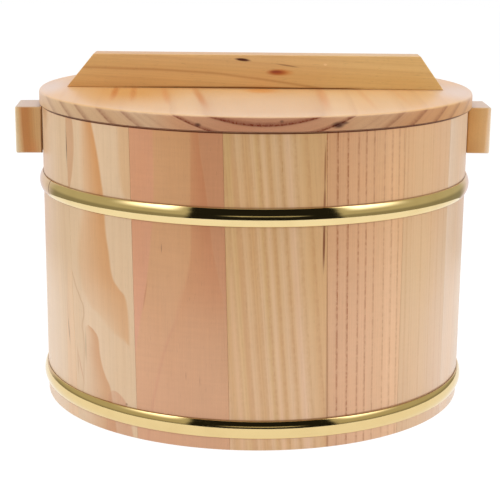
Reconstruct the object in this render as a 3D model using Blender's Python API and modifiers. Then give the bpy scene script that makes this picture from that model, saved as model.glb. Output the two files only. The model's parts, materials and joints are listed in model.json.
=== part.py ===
"""Wooden rice steamer: a coopered fir barrel, open at the foot, whose slatted grate and lid lift out.

Metres, +Z up. The origin is the middle of the foot, on the surface that the barrel stands on. The front
faces -Y and the side handles are on -X and +X. Angles round the barrel are counted from the front, -Y,
towards +X.
"""

import math

import bmesh
import bpy
from mathutils import Vector

# Clearances
SEAT_GAP = 0.0003
JOINT_GAP = 0.0002

# Barrel
BARREL_HEIGHT = 0.1927
RIM_RADIUS = 0.1400
FOOT_RADIUS = 0.1391
WALL = 0.0150
RIM_EASE = 0.0008
STAVE_FACETS = 4

# Fir tones, sRGB
CREAM = (0.87, 0.75, 0.60)
SALMON = (0.80, 0.58, 0.45)
TAN = (0.81, 0.66, 0.48)
PEACH = (0.85, 0.67, 0.53)
STRAW = (0.89, 0.76, 0.63)

# Each stave's width along the outside, at the rim and at the foot, and its tone. The first holds the left
# handle, and the rest follow round the front, the right handle and the back. They close the ring whatever
# their sum, so each is a share of it.
STAVES = (
    (0.0538, 0.0534, CREAM),
    (0.0560, 0.0636, STRAW),
    (0.0589, 0.0546, CREAM),
    (0.0594, 0.0602, SALMON),
    (0.0606, 0.0602, TAN),
    (0.0552, 0.0507, PEACH),
    (0.0486, 0.0481, STRAW),
    (0.0474, 0.0461, CREAM),
    (0.0538, 0.0534, STRAW),
    (0.0574, 0.0570, PEACH),
    (0.0513, 0.0522, TAN),
    (0.0599, 0.0582, CREAM),
    (0.0538, 0.0546, SALMON),
    (0.0562, 0.0546, STRAW),
    (0.0525, 0.0534, TAN),
    (0.0550, 0.0534, CREAM),
)
LEFT_HANDLE_STAVE = 0
RIGHT_HANDLE_STAVE = 8

# Bamboo pins that line each stave up with the next
PIN_RADIUS = 0.0020
PIN_REACH = 0.0080
PIN_ROOT = 0.0060
PIN_FROM_END = 0.0435
PIN_HEIGHTS = (PIN_FROM_END, BARREL_HEIGHT - PIN_FROM_END)
PIN_SIDES = 10

# Half-round brass hoops
HOOP_WIDTH = 0.0110
HOOP_CROWN = 0.0022
HOOP_EDGE = 0.0003
HOOP_FROM_FOOT = 0.0132
HOOP_FROM_RIM = 0.0497
HOOP_HEIGHTS = {"hoop_lower": HOOP_FROM_FOOT, "hoop_upper": BARREL_HEIGHT - HOOP_FROM_RIM}
HOOP_FACETS = 72
HOOP_ARC_STEPS = 6

# Side handles: plain blocks with a flat back, so that they meet the round wall along their middle.
# Each is cut and placed by hand, so its depth and its turn from its stave's middle are its own.
HANDLE_DEPTHS = {"left": 0.0163, "right": 0.0141}
HANDLE_TURNS = {"left": math.radians(3.0), "right": math.radians(0.5)}
HANDLE_LENGTH = 0.0340
HANDLE_FROM_RIM = 0.0013
HANDLE_BLOCK_HEIGHT = 0.0304
HANDLE_ROUND = 0.0018

# Wood screws: a countersunk head, a straight shank and a point
SCREW_HEAD_RADIUS = 0.0036
SCREW_SHANK_RADIUS = 0.0018
SCREW_HEAD_DEPTH = 0.0022
SCREW_POINT = 0.0040
SCREW_SIDES = 12
SIDE_SCREW_LENGTH = 0.0260
SIDE_SCREW_SPACING = 0.0150
SIDE_SCREW_SINK = 0.0004
LID_SCREW_LENGTH = 0.0280
LID_SCREW_SPACING = 0.0700
LID_SCREW_SIDES = (-1, 0, 1)

# Lid: one board with a rebated step that sits in the mouth
LID_RADIUS = 0.1424
LID_EDGE = 0.0093
LID_STEP = 0.0055
LID_STEP_PLAY = 0.0010
LID_ROUND = 0.0012
LID_FACETS = 72

# Lid handle: a bar across the grain with sloping ends, the right one a little steeper
BAR_FOOT_LENGTH = 0.2468
BAR_TOP_LENGTH = 0.2150
BAR_TOP_SHIFT = 0.0018
BAR_HEIGHT = 0.0215
BAR_THICKNESS = 0.0190
BAR_ROUND = 0.0010

# Pegs in the wall that carry the grate
PEG_RADIUS = 0.0045
PEG_HEIGHT = 0.0240
PEG_SEAT = 0.0090
PEG_REACH = 0.0190
PEG_SIDES = 16
PEG_ROUND = 0.0010

# Grate: slats from front to back, let into two cross battens, which lie off the middle by a share of
# its radius
GRATE_PLAY = 0.0025
GRATE_FACETS = 64
SLAT_COUNT = 8
SLAT_GAP = 0.0070
SLAT_THICKNESS = 0.0090
SLAT_NOTCH = 0.0030
SLAT_EASE = 0.0010
BATTEN_WIDTH = 0.0200
BATTEN_HEIGHT = 0.0120
BATTEN_PLACE = 0.4100
NAIL_HEAD_RADIUS = 0.0022
NAIL_SHANK_RADIUS = 0.0011
NAIL_HEAD_DEPTH = 0.0009
NAIL_LENGTH = 0.0160
NAIL_POINT = 0.0020
NAIL_SIDES = 8

# Finishes, sRGB, and how rough they are
BAR_TONE = (0.80, 0.60, 0.37)
BLOCK_TONE = (0.77, 0.56, 0.35)
LID_TONE = (0.89, 0.74, 0.57)
GRATE_TONE = (0.85, 0.72, 0.56)
PEG_TONE = (0.83, 0.71, 0.47)
BRASS_TONE = (0.86, 0.74, 0.38)
STEEL_TONE = (0.72, 0.72, 0.70)
WOOD_ROUGHNESS = 0.55
METAL_ROUGHNESS = 0.18

# How far a cutter runs past the face it opens
OVERRUN = 0.0020
# A point joins another within this distance
MERGE = 0.00001


def clear_scene():
    """Removes whatever the file starts with."""
    for obj in list(bpy.data.objects):
        bpy.data.objects.remove(obj, do_unlink=True)


def new_collection(name, helper=False):
    """A collection in the scene, left out of renders where it holds helpers."""
    collection = bpy.data.collections.new(name)
    collection.hide_render = helper
    bpy.context.scene.collection.children.link(collection)
    return collection


def linear(colour):
    """An sRGB colour in the linear values that a shader takes."""
    return [c / 12.92 if c <= 0.04045 else ((c + 0.055) / 1.055) ** 2.4 for c in colour]


def finish(name, tone, roughness, metallic=0.0):
    """A plain Principled material."""
    material = bpy.data.materials.new(name)
    material.use_nodes = True
    shader = material.node_tree.nodes["Principled BSDF"]
    shader.inputs["Base Color"].default_value = (*linear(tone), 1.0)
    shader.inputs["Roughness"].default_value = roughness
    shader.inputs["Metallic"].default_value = metallic
    return material


def wood(name, tone):
    """A bare wood finish."""
    return finish(name, tone, WOOD_ROUGHNESS)


def metal(name, tone):
    """A bright metal finish."""
    return finish(name, tone, METAL_ROUGHNESS, 1.0)


def polar(angle, radius, height=0.0):
    """The point at an angle round the barrel, a radius and a height."""
    return Vector((radius * math.sin(angle), -radius * math.cos(angle), height))


def tangent(angle):
    """The level direction along the wall at an angle, towards the next stave."""
    return Vector((math.cos(angle), math.sin(angle), 0.0))


def angle_of(point):
    """The angle of a point round the barrel."""
    return math.atan2(point.x, -point.y)


def outer_radius(height):
    """The barrel's outer radius at a height, since it widens a little to the rim."""
    return FOOT_RADIUS + (RIM_RADIUS - FOOT_RADIUS) * height / BARREL_HEIGHT


def inner_radius(height):
    """The barrel's inner radius at a height."""
    return outer_radius(height) - WALL


def wall_lean():
    """How far the wall leans out from upright, as an angle."""
    return math.atan((RIM_RADIUS - FOOT_RADIUS) / BARREL_HEIGHT)


def object_from(name, bm, collection, material=None):
    """A mesh object made of a bmesh."""
    mesh = bpy.data.meshes.new(name)
    bm.to_mesh(mesh)
    bm.free()
    if material:
        mesh.materials.append(material)
    obj = bpy.data.objects.new(name, mesh)
    collection.objects.link(obj)
    return obj


def as_helper(obj):
    """Marks a cutter or a joined-in shape, which shows as wire and isn't rendered."""
    obj.hide_render = True
    obj.display_type = "WIRE"
    return obj


def boolean(obj, other, operation):
    """A Boolean modifier on an object."""
    modifier = obj.modifiers.new(f"{operation.lower()}_{other.name}", "BOOLEAN")
    modifier.operation = operation
    modifier.object = other


def bevel(obj, width, segments=1):
    """Rounds every hard edge of an object."""
    modifier = obj.modifiers.new("rounding", "BEVEL")
    modifier.width = width
    modifier.segments = segments
    modifier.limit_method = "ANGLE"


def shade_round(obj):
    """Smooth shading between facets, sharp at corners."""
    obj.data.shade_smooth()
    obj.data.set_sharp_from_angle(angle=math.radians(30))


def aim(obj, point, direction):
    """Puts an object at a point with its -Z along a direction."""
    obj.location = point
    obj.rotation_mode = "QUATERNION"
    obj.rotation_quaternion = direction.to_track_quat("-Z", "Y")


def box_mesh(bm, low, high):
    """Adds a box between two corners."""
    made = bmesh.ops.create_cube(bm, size=1.0)["verts"]
    size = high - low
    bmesh.ops.scale(bm, verts=made, vec=size)
    bmesh.ops.translate(bm, verts=made, vec=(low + high) / 2)
    return made


def box(name, low, high, collection, material=None):
    """A box object between two corners."""
    bm = bmesh.new()
    box_mesh(bm, Vector(low), Vector(high))
    return object_from(name, bm, collection, material)


def rod_mesh(bm, start, end, radius, sides):
    """Adds a closed cylinder from one point to another."""
    along = end - start
    made = bmesh.ops.create_cone(
        bm, cap_ends=True, segments=sides, radius1=radius, radius2=radius, depth=along.length
    )["verts"]
    bmesh.ops.rotate(bm, verts=made, matrix=along.to_track_quat("Z", "Y").to_matrix())
    bmesh.ops.translate(bm, verts=made, vec=(start + end) / 2)


def rods(name, ends, radius, sides, collection):
    """One helper object that holds a cylinder for each pair of end points."""
    bm = bmesh.new()
    for start, end in ends:
        rod_mesh(bm, start, end, radius, sides)
    return as_helper(object_from(name, bm, collection))


def turned(name, profile, sides, collection, material=None, closed=False):
    """A turned shape: (radius, height) points, top to bottom on the outer side, spun about Z."""
    bm = bmesh.new()
    points = [bm.verts.new((radius, 0.0, height)) for radius, height in profile]
    pairs = list(zip(points, points[1:]))
    if closed:
        pairs.append((points[-1], points[0]))
    for pair in pairs:
        bm.edges.new(pair)
    obj = object_from(name, bm, collection, material)
    screw = obj.modifiers.new("turning", "SCREW")
    screw.steps = sides
    screw.render_steps = sides
    screw.use_merge_vertices = True
    screw.merge_threshold = MERGE
    screw.use_smooth_shade = True
    return obj


def fastener_profile(head, shank, head_depth, length, point, grow=0.0, above=0.0):
    """Profile of a countersunk screw or nail whose head is level with zero and which points down.

    grow makes it fatter and longer all round, and above lets it run past the face that it enters.
    """
    profile = [(0.0, above)]
    if above:
        profile.append((head + grow, above))
    return profile + [
        (head + grow, 0.0),
        (shank + grow, -head_depth),
        (shank + grow, point - length),
        (0.0, -length - grow),
    ]


def screw_profile(length, grow=0.0, above=0.0):
    """Profile of a wood screw."""
    return fastener_profile(
        SCREW_HEAD_RADIUS, SCREW_SHANK_RADIUS, SCREW_HEAD_DEPTH, length, SCREW_POINT, grow, above
    )


def nail_profile(grow=0.0, above=0.0):
    """Profile of a grate nail."""
    return fastener_profile(
        NAIL_HEAD_RADIUS, NAIL_SHANK_RADIUS, NAIL_HEAD_DEPTH, NAIL_LENGTH, NAIL_POINT, grow, above
    )


class StaveJoint:
    """The flat joint between two staves, which slants where the staves narrow to the foot."""

    def __init__(self, rim_angle, foot_angle):
        middle = (rim_angle + foot_angle) / 2
        self.outward = polar(middle, 1.0)
        self.across = tangent(middle)
        self.rim = polar(rim_angle, RIM_RADIUS, BARREL_HEIGHT)
        self.foot = polar(foot_angle, FOOT_RADIUS)

    def outer(self, height):
        """The point on the outside of the wall at a height."""
        return self.foot.lerp(self.rim, height / BARREL_HEIGHT)

    def inner(self, height):
        """The point on the inside of the wall at a height."""
        corner = self.outer(height)
        level = Vector((corner.x, corner.y, 0.0))
        along = level.dot(self.outward)
        spare = level.length_squared - inner_radius(height) ** 2
        return corner - self.outward * (along - math.sqrt(along**2 - spare))

    def middle(self, height):
        """The point halfway through the wall at a height."""
        return (self.outer(height) + self.inner(height)) / 2


def joint_angles(widths):
    """The angle of each joint, with the first stave centred on -X."""
    turn = 2 * math.pi / sum(widths)
    angles = [-math.pi / 2 - widths[0] * turn / 2]
    for width in widths:
        angles.append(angles[-1] + width * turn)
    return angles


RIM_ANGLES = joint_angles([rim for rim, foot, tone in STAVES])
FOOT_ANGLES = joint_angles([foot for rim, foot, tone in STAVES])
JOINTS = [StaveJoint(rim, foot) for rim, foot in zip(RIM_ANGLES, FOOT_ANGLES)]


def stave_name(index):
    """A stave's name, counted from 1 at the left handle."""
    return f"stave_{index + 1:02d}"


def stave_middle(index):
    """The angle of a stave's middle at the rim."""
    return (RIM_ANGLES[index] + RIM_ANGLES[index + 1]) / 2


def stave_at(angle):
    """The number of the stave that lies at an angle."""
    turned_on = (angle - FOOT_ANGLES[0]) % (2 * math.pi) + FOOT_ANGLES[0]
    return max(index for index in range(len(STAVES)) if FOOT_ANGLES[index] <= turned_on)


def arc_between(first, last, radius, height):
    """Points along the wall from one corner to the next."""
    start = angle_of(first)
    sweep = (angle_of(last) - start) % (2 * math.pi)
    inside = [polar(start + sweep * step / STAVE_FACETS, radius, height) for step in range(1, STAVE_FACETS)]
    return [first, *inside, last]


def stave_outline(index, height):
    """A stave's outline at a height: along the outside and back along the inside."""
    left = JOINTS[index]
    right = JOINTS[index + 1]
    left_gap = left.across * JOINT_GAP / 2
    right_gap = right.across * JOINT_GAP / 2
    outside = arc_between(
        left.outer(height) + left_gap, right.outer(height) - right_gap, outer_radius(height), height
    )
    inside = arc_between(
        left.inner(height) + left_gap, right.inner(height) - right_gap, inner_radius(height), height
    )
    return outside + inside[::-1]


def runs_along_wall(edge):
    """Whether an edge of a stave is part of one of its level arcs."""
    start, end = (vert.co for vert in edge.verts)
    level = abs(start.z - end.z) < MERGE
    return level and abs(start.xy.length - end.xy.length) < WALL / 2


def make_stave(index, parts, helpers, material):
    """A stave: its foot outline drawn up to its rim outline, eased at both ends, pinned to the next one."""
    bm = bmesh.new()
    foot = [bm.verts.new(point) for point in stave_outline(index, 0.0)]
    face = bm.faces.new(foot)
    drawn = bmesh.ops.extrude_face_region(bm, geom=[face], use_keep_orig=True)["geom"]
    top = [vert for vert in drawn if isinstance(vert, bmesh.types.BMVert)]
    raised = stave_outline(index, BARREL_HEIGHT)
    places = {old.co.to_tuple(): new for old, new in zip(foot, raised)}
    for vert in top:
        vert.co = places[vert.co.to_tuple()]
    bmesh.ops.recalc_face_normals(bm, faces=bm.faces)
    arcs = [edge for edge in bm.edges if runs_along_wall(edge)]
    bmesh.ops.bevel(bm, geom=arcs, offset=RIM_EASE, segments=1, affect="EDGES", clamp_overlap=True)
    stave = object_from(stave_name(index), bm, parts, material)

    own = JOINTS[index + 1]
    before = JOINTS[index]
    pins = []
    holes = []
    for height in PIN_HEIGHTS:
        root = own.middle(height) - own.across * PIN_ROOT
        pins.append((root, own.middle(height) + own.across * PIN_REACH))
        mouth = before.middle(height) - before.across * OVERRUN
        holes.append((mouth, before.middle(height) + before.across * (PIN_REACH + SEAT_GAP)))
    boolean(stave, rods(f"pins_{index + 1:02d}", pins, PIN_RADIUS, PIN_SIDES, helpers), "UNION")
    hole_cutter = rods(f"pin_holes_{index + 1:02d}", holes, PIN_RADIUS + SEAT_GAP, PIN_SIDES, helpers)
    boolean(stave, hole_cutter, "DIFFERENCE")
    shade_round(stave)
    return stave


def make_hoop(name, height, parts, material):
    """A half-round hoop, whose flat back follows the wall."""
    facet_share = math.cos(math.pi / HOOP_FACETS)

    def seat(level):
        """The corner radius whose flats clear the wall."""
        return (outer_radius(level) + SEAT_GAP) / facet_share

    half = HOOP_WIDTH / 2
    crown_radius = (half**2 + HOOP_CROWN**2) / (2 * HOOP_CROWN)
    sweep = math.asin(half / crown_radius)
    profile = [(seat(height + half), height + half)]
    for step in range(HOOP_ARC_STEPS + 1):
        turn = sweep * (1 - 2 * step / HOOP_ARC_STEPS)
        level = height + crown_radius * math.sin(turn)
        bulge = HOOP_CROWN - crown_radius * (1 - math.cos(turn))
        profile.append((seat(level) + HOOP_EDGE + bulge, level))
    profile.append((seat(height - half), height - half))
    return turned(name, profile, HOOP_FACETS, parts, material, closed=True)


def make_side_handle(side, stave_index, staves, parts, helpers, materials):
    """A side handle block, screwed on from inside the barrel."""
    angle = stave_middle(stave_index) + HANDLE_TURNS[side]
    outward = polar(angle, 1.0)
    middle_height = BARREL_HEIGHT - HANDLE_FROM_RIM - HANDLE_BLOCK_HEIGHT / 2
    wall = outer_radius(middle_height) + SEAT_GAP
    half_length = HANDLE_LENGTH / 2
    half_height = HANDLE_BLOCK_HEIGHT / 2
    block = box(
        f"side_handle_{side}",
        (0.0, -half_length, -half_height),
        (HANDLE_DEPTHS[side], half_length, half_height),
        parts,
        materials["block"],
    )
    block.location = polar(angle, wall, middle_height)
    block.rotation_euler = (0.0, wall_lean(), angle - math.pi / 2)
    bevel(block, HANDLE_ROUND, 2)

    screws = []
    for label, place in (("lower", -1), ("upper", 1)):
        height = middle_height + place * SIDE_SCREW_SPACING / 2
        head = polar(angle, inner_radius(height) + SIDE_SCREW_SINK, height)
        name = f"side_handle_screw_{side}_{label}"
        screw = turned(name, screw_profile(SIDE_SCREW_LENGTH), SCREW_SIDES, parts, materials["steel"])
        aim(screw, head, outward)
        profile = screw_profile(SIDE_SCREW_LENGTH, SEAT_GAP, OVERRUN)
        cutter = as_helper(turned(f"{name}_hole", profile, SCREW_SIDES, helpers))
        aim(cutter, head, outward)
        boolean(block, cutter, "DIFFERENCE")
        boolean(staves[stave_index], cutter, "DIFFERENCE")
        screws.append(screw)
    shade_round(block)
    return [block, *screws]


def lid_floor():
    """The height of the lid's underside, the lower face of its step."""
    return BARREL_HEIGHT + SEAT_GAP - LID_STEP


def lid_top():
    """The height of the lid's upper face."""
    return BARREL_HEIGHT + SEAT_GAP + LID_EDGE


def make_lid(parts, helpers, materials):
    """The lid board, its handle bar and the screws that hold the bar from below."""
    seat = BARREL_HEIGHT + SEAT_GAP
    step_radius = inner_radius(BARREL_HEIGHT) - LID_STEP_PLAY
    profile = [
        (0.0, lid_top()),
        (LID_RADIUS - LID_ROUND, lid_top()),
        (LID_RADIUS, lid_top() - LID_ROUND),
        (LID_RADIUS, seat + LID_ROUND / 2),
        (LID_RADIUS - LID_ROUND / 2, seat),
        (step_radius, seat),
        (step_radius, lid_floor() + LID_ROUND / 2),
        (step_radius - LID_ROUND / 2, lid_floor()),
        (0.0, lid_floor()),
    ]
    board = turned("lid_board", profile, LID_FACETS, parts, materials["lid"])

    bar_floor = lid_top() + SEAT_GAP
    half = Vector((BAR_FOOT_LENGTH / 2, BAR_THICKNESS / 2, 0.0))
    bar = box(
        "lid_handle",
        (-half.x, -half.y, bar_floor),
        (half.x, half.y, bar_floor + BAR_HEIGHT),
        parts,
        materials["bar"],
    )
    for vert in bar.data.vertices:
        if vert.co.z > bar_floor + BAR_HEIGHT / 2:
            vert.co.x = vert.co.x * BAR_TOP_LENGTH / BAR_FOOT_LENGTH + BAR_TOP_SHIFT
    bevel(bar, BAR_ROUND, 2)

    screws = []
    for number, place in enumerate(LID_SCREW_SIDES, start=1):
        head = Vector((place * LID_SCREW_SPACING, 0.0, lid_floor()))
        name = f"lid_screw_{number}"
        screw = turned(name, screw_profile(LID_SCREW_LENGTH), SCREW_SIDES, parts, materials["steel"])
        aim(screw, head, Vector((0.0, 0.0, 1.0)))
        profile = screw_profile(LID_SCREW_LENGTH, SEAT_GAP, OVERRUN)
        cutter = as_helper(turned(f"{name}_hole", profile, SCREW_SIDES, helpers))
        aim(cutter, head, Vector((0.0, 0.0, 1.0)))
        boolean(board, cutter, "DIFFERENCE")
        boolean(bar, cutter, "DIFFERENCE")
        screws.append(screw)
    shade_round(bar)
    return [board, bar, *screws]


def peg_top():
    """The height that the pegs carry the grate at."""
    return PEG_HEIGHT + PEG_RADIUS


def grate_floor():
    """The height of the battens' lower face."""
    return peg_top() + SEAT_GAP


def grate_radius():
    """The grate's radius, which leaves it play in the barrel."""
    return inner_radius(grate_floor()) - GRATE_PLAY


def batten_middle():
    """How far a batten's middle lies in front of or behind the grate's."""
    return grate_radius() * BATTEN_PLACE


def batten_half_length():
    """Half the length of a batten along its outer edge, where the round cuts it."""
    edge = batten_middle() + BATTEN_WIDTH / 2
    return math.sqrt(grate_radius() ** 2 - edge**2)


def peg_angles():
    """The angles of the four pegs, one under each batten end."""
    side = math.atan2(batten_half_length(), batten_middle())
    return [-side, side, math.pi - side, math.pi + side]


def make_pegs(staves, parts, helpers, material):
    """The pegs that carry the grate, each in a blind hole in its stave."""
    pegs = []
    for number, angle in enumerate(peg_angles(), start=1):
        wall = inner_radius(PEG_HEIGHT)
        outer_end = polar(angle, wall + PEG_SEAT, PEG_HEIGHT)
        bm = bmesh.new()
        rod_mesh(bm, polar(angle, wall - PEG_REACH, PEG_HEIGHT), outer_end, PEG_RADIUS, PEG_SIDES)
        peg = object_from(f"grate_peg_{number}", bm, parts, material)
        bevel(peg, PEG_ROUND)
        shade_round(peg)
        hole_end = polar(angle, wall + PEG_SEAT + SEAT_GAP, PEG_HEIGHT)
        mouth = polar(angle, wall - OVERRUN, PEG_HEIGHT)
        hole = rods(f"peg_hole_{number}", [(mouth, hole_end)], PEG_RADIUS + SEAT_GAP, PEG_SIDES, helpers)
        boolean(staves[stave_at(angle)], hole, "DIFFERENCE")
        pegs.append(peg)
    return pegs


def slat_width():
    """The width of a slat, so that slats and gaps fill the round."""
    return (2 * grate_radius() - (SLAT_COUNT - 1) * SLAT_GAP) / SLAT_COUNT


def slat_middles():
    """The middle of each slat, from left to right."""
    pitch = slat_width() + SLAT_GAP
    return [(number - (SLAT_COUNT - 1) / 2) * pitch for number in range(SLAT_COUNT)]


def slat_floor():
    """The height of the slats' lower face, in the battens' notches."""
    return grate_floor() + BATTEN_HEIGHT - SLAT_NOTCH + SEAT_GAP


def grate_top():
    """The height of the slats' upper face."""
    return slat_floor() + SLAT_THICKNESS


def nail_places(slat_middle):
    """Where a slat's two nails go: midway along what each batten carries of it."""
    half = slat_width() / 2
    end = math.sqrt(grate_radius() ** 2 - batten_middle() ** 2)
    across = (max(-end, slat_middle - half) + min(end, slat_middle + half)) / 2
    return [(across, side * batten_middle()) for side in (-1, 1)]


def make_nail(number, place, parts, helpers, material):
    """A grate nail and the cutter of its hole."""
    nail = turned(f"grate_nail_{number:02d}", nail_profile(), NAIL_SIDES, parts, material)
    nail.location = place
    profile = nail_profile(SEAT_GAP, OVERRUN)
    cutter = as_helper(turned(f"nail_hole_{number:02d}", profile, NAIL_SIDES, helpers))
    cutter.location = place
    return nail, cutter


def make_grate(parts, helpers, materials):
    """The grate: slats cut to a round, let into two notched battens and nailed."""
    radius = grate_radius()
    bm = bmesh.new()
    low = Vector((0.0, 0.0, grate_floor() - OVERRUN))
    rod_mesh(bm, low, Vector((0.0, 0.0, grate_top() + OVERRUN)), radius, GRATE_FACETS)
    round_cut = as_helper(object_from("grate_round", bm, helpers))

    battens = []
    for side, label in ((-1, "front"), (1, "back")):
        middle = side * batten_middle()
        batten = box(
            f"grate_batten_{label}",
            (-radius - OVERRUN, middle - BATTEN_WIDTH / 2, grate_floor()),
            (radius + OVERRUN, middle + BATTEN_WIDTH / 2, grate_floor() + BATTEN_HEIGHT),
            parts,
            materials["grate"],
        )
        boolean(batten, round_cut, "INTERSECT")
        battens.append(batten)

    bm = bmesh.new()
    half = slat_width() / 2
    for middle in slat_middles():
        box_mesh(
            bm,
            Vector((middle - half - SEAT_GAP, -radius, slat_floor() - SEAT_GAP)),
            Vector((middle + half + SEAT_GAP, radius, grate_top())),
        )
    notches = as_helper(object_from("slat_notches", bm, helpers))
    for batten in battens:
        boolean(batten, notches, "DIFFERENCE")

    slats = []
    nails = []
    for number, middle in enumerate(slat_middles(), start=1):
        slat = box(
            f"grate_slat_{number}",
            (middle - half, -radius - OVERRUN, slat_floor()),
            (middle + half, radius + OVERRUN, grate_top()),
            parts,
            materials["grate"],
        )
        bevel(slat, SLAT_EASE)
        boolean(slat, round_cut, "INTERSECT")
        for batten, (across, along) in zip(battens, nail_places(middle)):
            place = (across, along, grate_top())
            nail, cutter = make_nail(len(nails) + 1, place, parts, helpers, materials["steel"])
            boolean(slat, cutter, "DIFFERENCE")
            boolean(batten, cutter, "DIFFERENCE")
            nails.append(nail)
        slats.append(slat)
    return [*battens, *slats, *nails]


def make_frame(name, height, parts, carried, parent=None):
    """An empty on the barrel's axis that carries a body's pieces."""
    frame = bpy.data.objects.new(name, None)
    frame.location = (0.0, 0.0, height)
    frame.parent = parent
    parts.objects.link(frame)
    bpy.context.view_layer.update()
    for obj in carried:
        obj.parent = frame
        obj.matrix_parent_inverse = frame.matrix_world.inverted()
    return frame


def main():
    clear_scene()
    parts = new_collection("wooden_rice_steamer")
    helpers = new_collection("cutters", helper=True)
    materials = {
        "block": wood("handle_block", BLOCK_TONE),
        "bar": wood("handle_bar", BAR_TONE),
        "lid": wood("lid_fir", LID_TONE),
        "grate": wood("grate_fir", GRATE_TONE),
        "peg": wood("bamboo_peg", PEG_TONE),
        "brass": metal("hoop_brass", BRASS_TONE),
        "steel": metal("screw_steel", STEEL_TONE),
    }
    staves = []
    for index, (rim, foot, tone) in enumerate(STAVES):
        material = wood(f"fir_{stave_name(index)}", tone)
        staves.append(make_stave(index, parts, helpers, material))
    hoops = [make_hoop(name, height, parts, materials["brass"]) for name, height in HOOP_HEIGHTS.items()]
    left = make_side_handle("left", LEFT_HANDLE_STAVE, staves, parts, helpers, materials)
    right = make_side_handle("right", RIGHT_HANDLE_STAVE, staves, parts, helpers, materials)
    pegs = make_pegs(staves, parts, helpers, materials["peg"])
    lid = make_lid(parts, helpers, materials)
    grate = make_grate(parts, helpers, materials)

    barrel = make_frame("barrel", 0.0, parts, staves + hoops + left + right + pegs)
    make_frame("lid", BARREL_HEIGHT, parts, lid, barrel)
    make_frame("grate", grate_floor(), parts, grate, barrel)


if __name__ == "__main__":
    main()
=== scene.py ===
"""The look of a wooden rice steamer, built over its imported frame.

Sizes are in metres in the row frame, +Z up, with the front facing -Y, and angles round the barrel are
counted from the front towards +X. Grain is laid out in millimetres, in each board's own frame.
"""

import json
import logging
import math
from collections.abc import Callable
from dataclasses import dataclass, field, replace
from enum import Enum

import bmesh
import bpy
from bpy.types import Material, Object
from mathutils import Matrix, Vector

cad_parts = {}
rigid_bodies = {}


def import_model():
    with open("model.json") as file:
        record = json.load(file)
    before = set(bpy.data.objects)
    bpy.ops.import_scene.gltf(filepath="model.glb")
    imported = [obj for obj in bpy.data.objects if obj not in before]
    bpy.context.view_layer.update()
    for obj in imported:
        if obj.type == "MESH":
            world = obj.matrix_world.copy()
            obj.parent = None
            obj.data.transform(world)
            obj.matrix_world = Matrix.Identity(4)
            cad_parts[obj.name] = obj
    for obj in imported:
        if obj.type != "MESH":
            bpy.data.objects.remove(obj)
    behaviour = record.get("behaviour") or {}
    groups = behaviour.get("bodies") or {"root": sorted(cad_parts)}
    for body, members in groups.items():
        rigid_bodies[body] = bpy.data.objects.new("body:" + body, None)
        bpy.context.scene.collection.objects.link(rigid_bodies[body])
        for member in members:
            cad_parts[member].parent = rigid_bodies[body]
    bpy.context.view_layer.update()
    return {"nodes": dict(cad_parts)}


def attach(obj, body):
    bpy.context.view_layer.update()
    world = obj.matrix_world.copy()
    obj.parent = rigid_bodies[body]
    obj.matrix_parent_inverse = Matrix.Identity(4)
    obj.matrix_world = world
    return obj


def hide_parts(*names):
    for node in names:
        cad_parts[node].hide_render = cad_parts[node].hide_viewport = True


LOG = logging.getLogger("rice_steamer")

Colour = tuple[float, float, float]
Curve = tuple[tuple[float, float], ...]
Stops = tuple[tuple[float, Colour], ...]
Span = tuple[float, float]
Joint = tuple[float, float]

MILLIMETRES = 1000.0
FULL_TURN = 2 * math.pi
RIGHT = Vector((1.0, 0.0, 0.0))
BACK = Vector((0.0, 1.0, 0.0))
UP = Vector((0.0, 0.0, 1.0))
BLACK: Colour = (0.0, 0.0, 0.0)
WHITE: Colour = (1.0, 1.0, 1.0)
SMALLEST_SPAN = 1e-6

# How many rings fit in one colour ramp
RAMP_LINES = 10
# Facets of a rounded corner and of an eased edge, the least of a corner's rounding that is left where its
# outline is drawn in, and the angles in degrees from which corners stay sharp
CORNER_STEPS = 4
EDGE_STEPS = 3
LEAST_EASE = 0.3
SHARP_ANGLE = 35.0
SHARP_BLOCK_ANGLE = 40.0
# How much of a block's face takes its painted sheen, how deep into a board its lines of painted shade go,
# in millimetres, and the share of a line's width that is darkest
PAINTED_SHEEN_SHARE = 0.85
LINE_DEPTH = 14.0
LINE_CORE = 0.6
# The scales of a board's noises, for each millimetre across it, into it and along it
WANDER_SCALE = Vector((0.03, 0.03, 0.011))
BREAK_SCALE = Vector((0.5, 0.5, 0.4))
PATCH_SCALE = Vector((0.045, 0.045, 0.02))
FIBRE_SCALE = Vector((1.3, 1.3, 0.035))
MOTTLE_SCALE = Vector((0.06, 0.06, 0.016))
RIPPLE_SCALE = Vector((0.05, 0.05, 0.55))
FLECK_SCALE = Vector((2.6, 2.6, 0.22))
PORE_SCALE = Vector((3.2, 3.2, 0.3))
# How far one seed's noise lies from the next one's, and the patches' noise from the rest
SEED_STEP = 17.0
PATCH_STEP = 31.0
# Between which levels each noise counts from not at all to fully
BREAK_SPAN: Span = (0.40, 0.62)
PATCH_SPAN: Span = (0.42, 0.72)
FLECK_SPAN: Span = (0.66, 0.78)
PORE_SPAN: Span = (0.55, 0.75)
RING_SPAN: Span = (0.3, 0.7)
# How squarely a face looks along a way of the board: for the face itself, for end grain and for lines of
# painted shade
FACE_SPAN: Span = (0.3, 0.8)
END_SPAN: Span = (0.45, 0.95)
LINE_SPAN: Span = (0.6, 0.9)
# A faint ring: where its late wood rises, where it breaks off, how unevenly rings lie and how they differ
RISE_SPAN: Span = (0.25, 0.9)
FALL_SPAN: Span = (0.9, 1.0)
UNEVEN_SCALE = 0.13
UNEVEN = 1.8
EACH_RING = 3.7
RING_SHARE = 0.7
# How far past its middle a plain ring ends, as a share of its width
LINE_END = 0.3
# How much mottle and pores change the shade
MOTTLE = 0.10
PORES = 0.16
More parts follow.
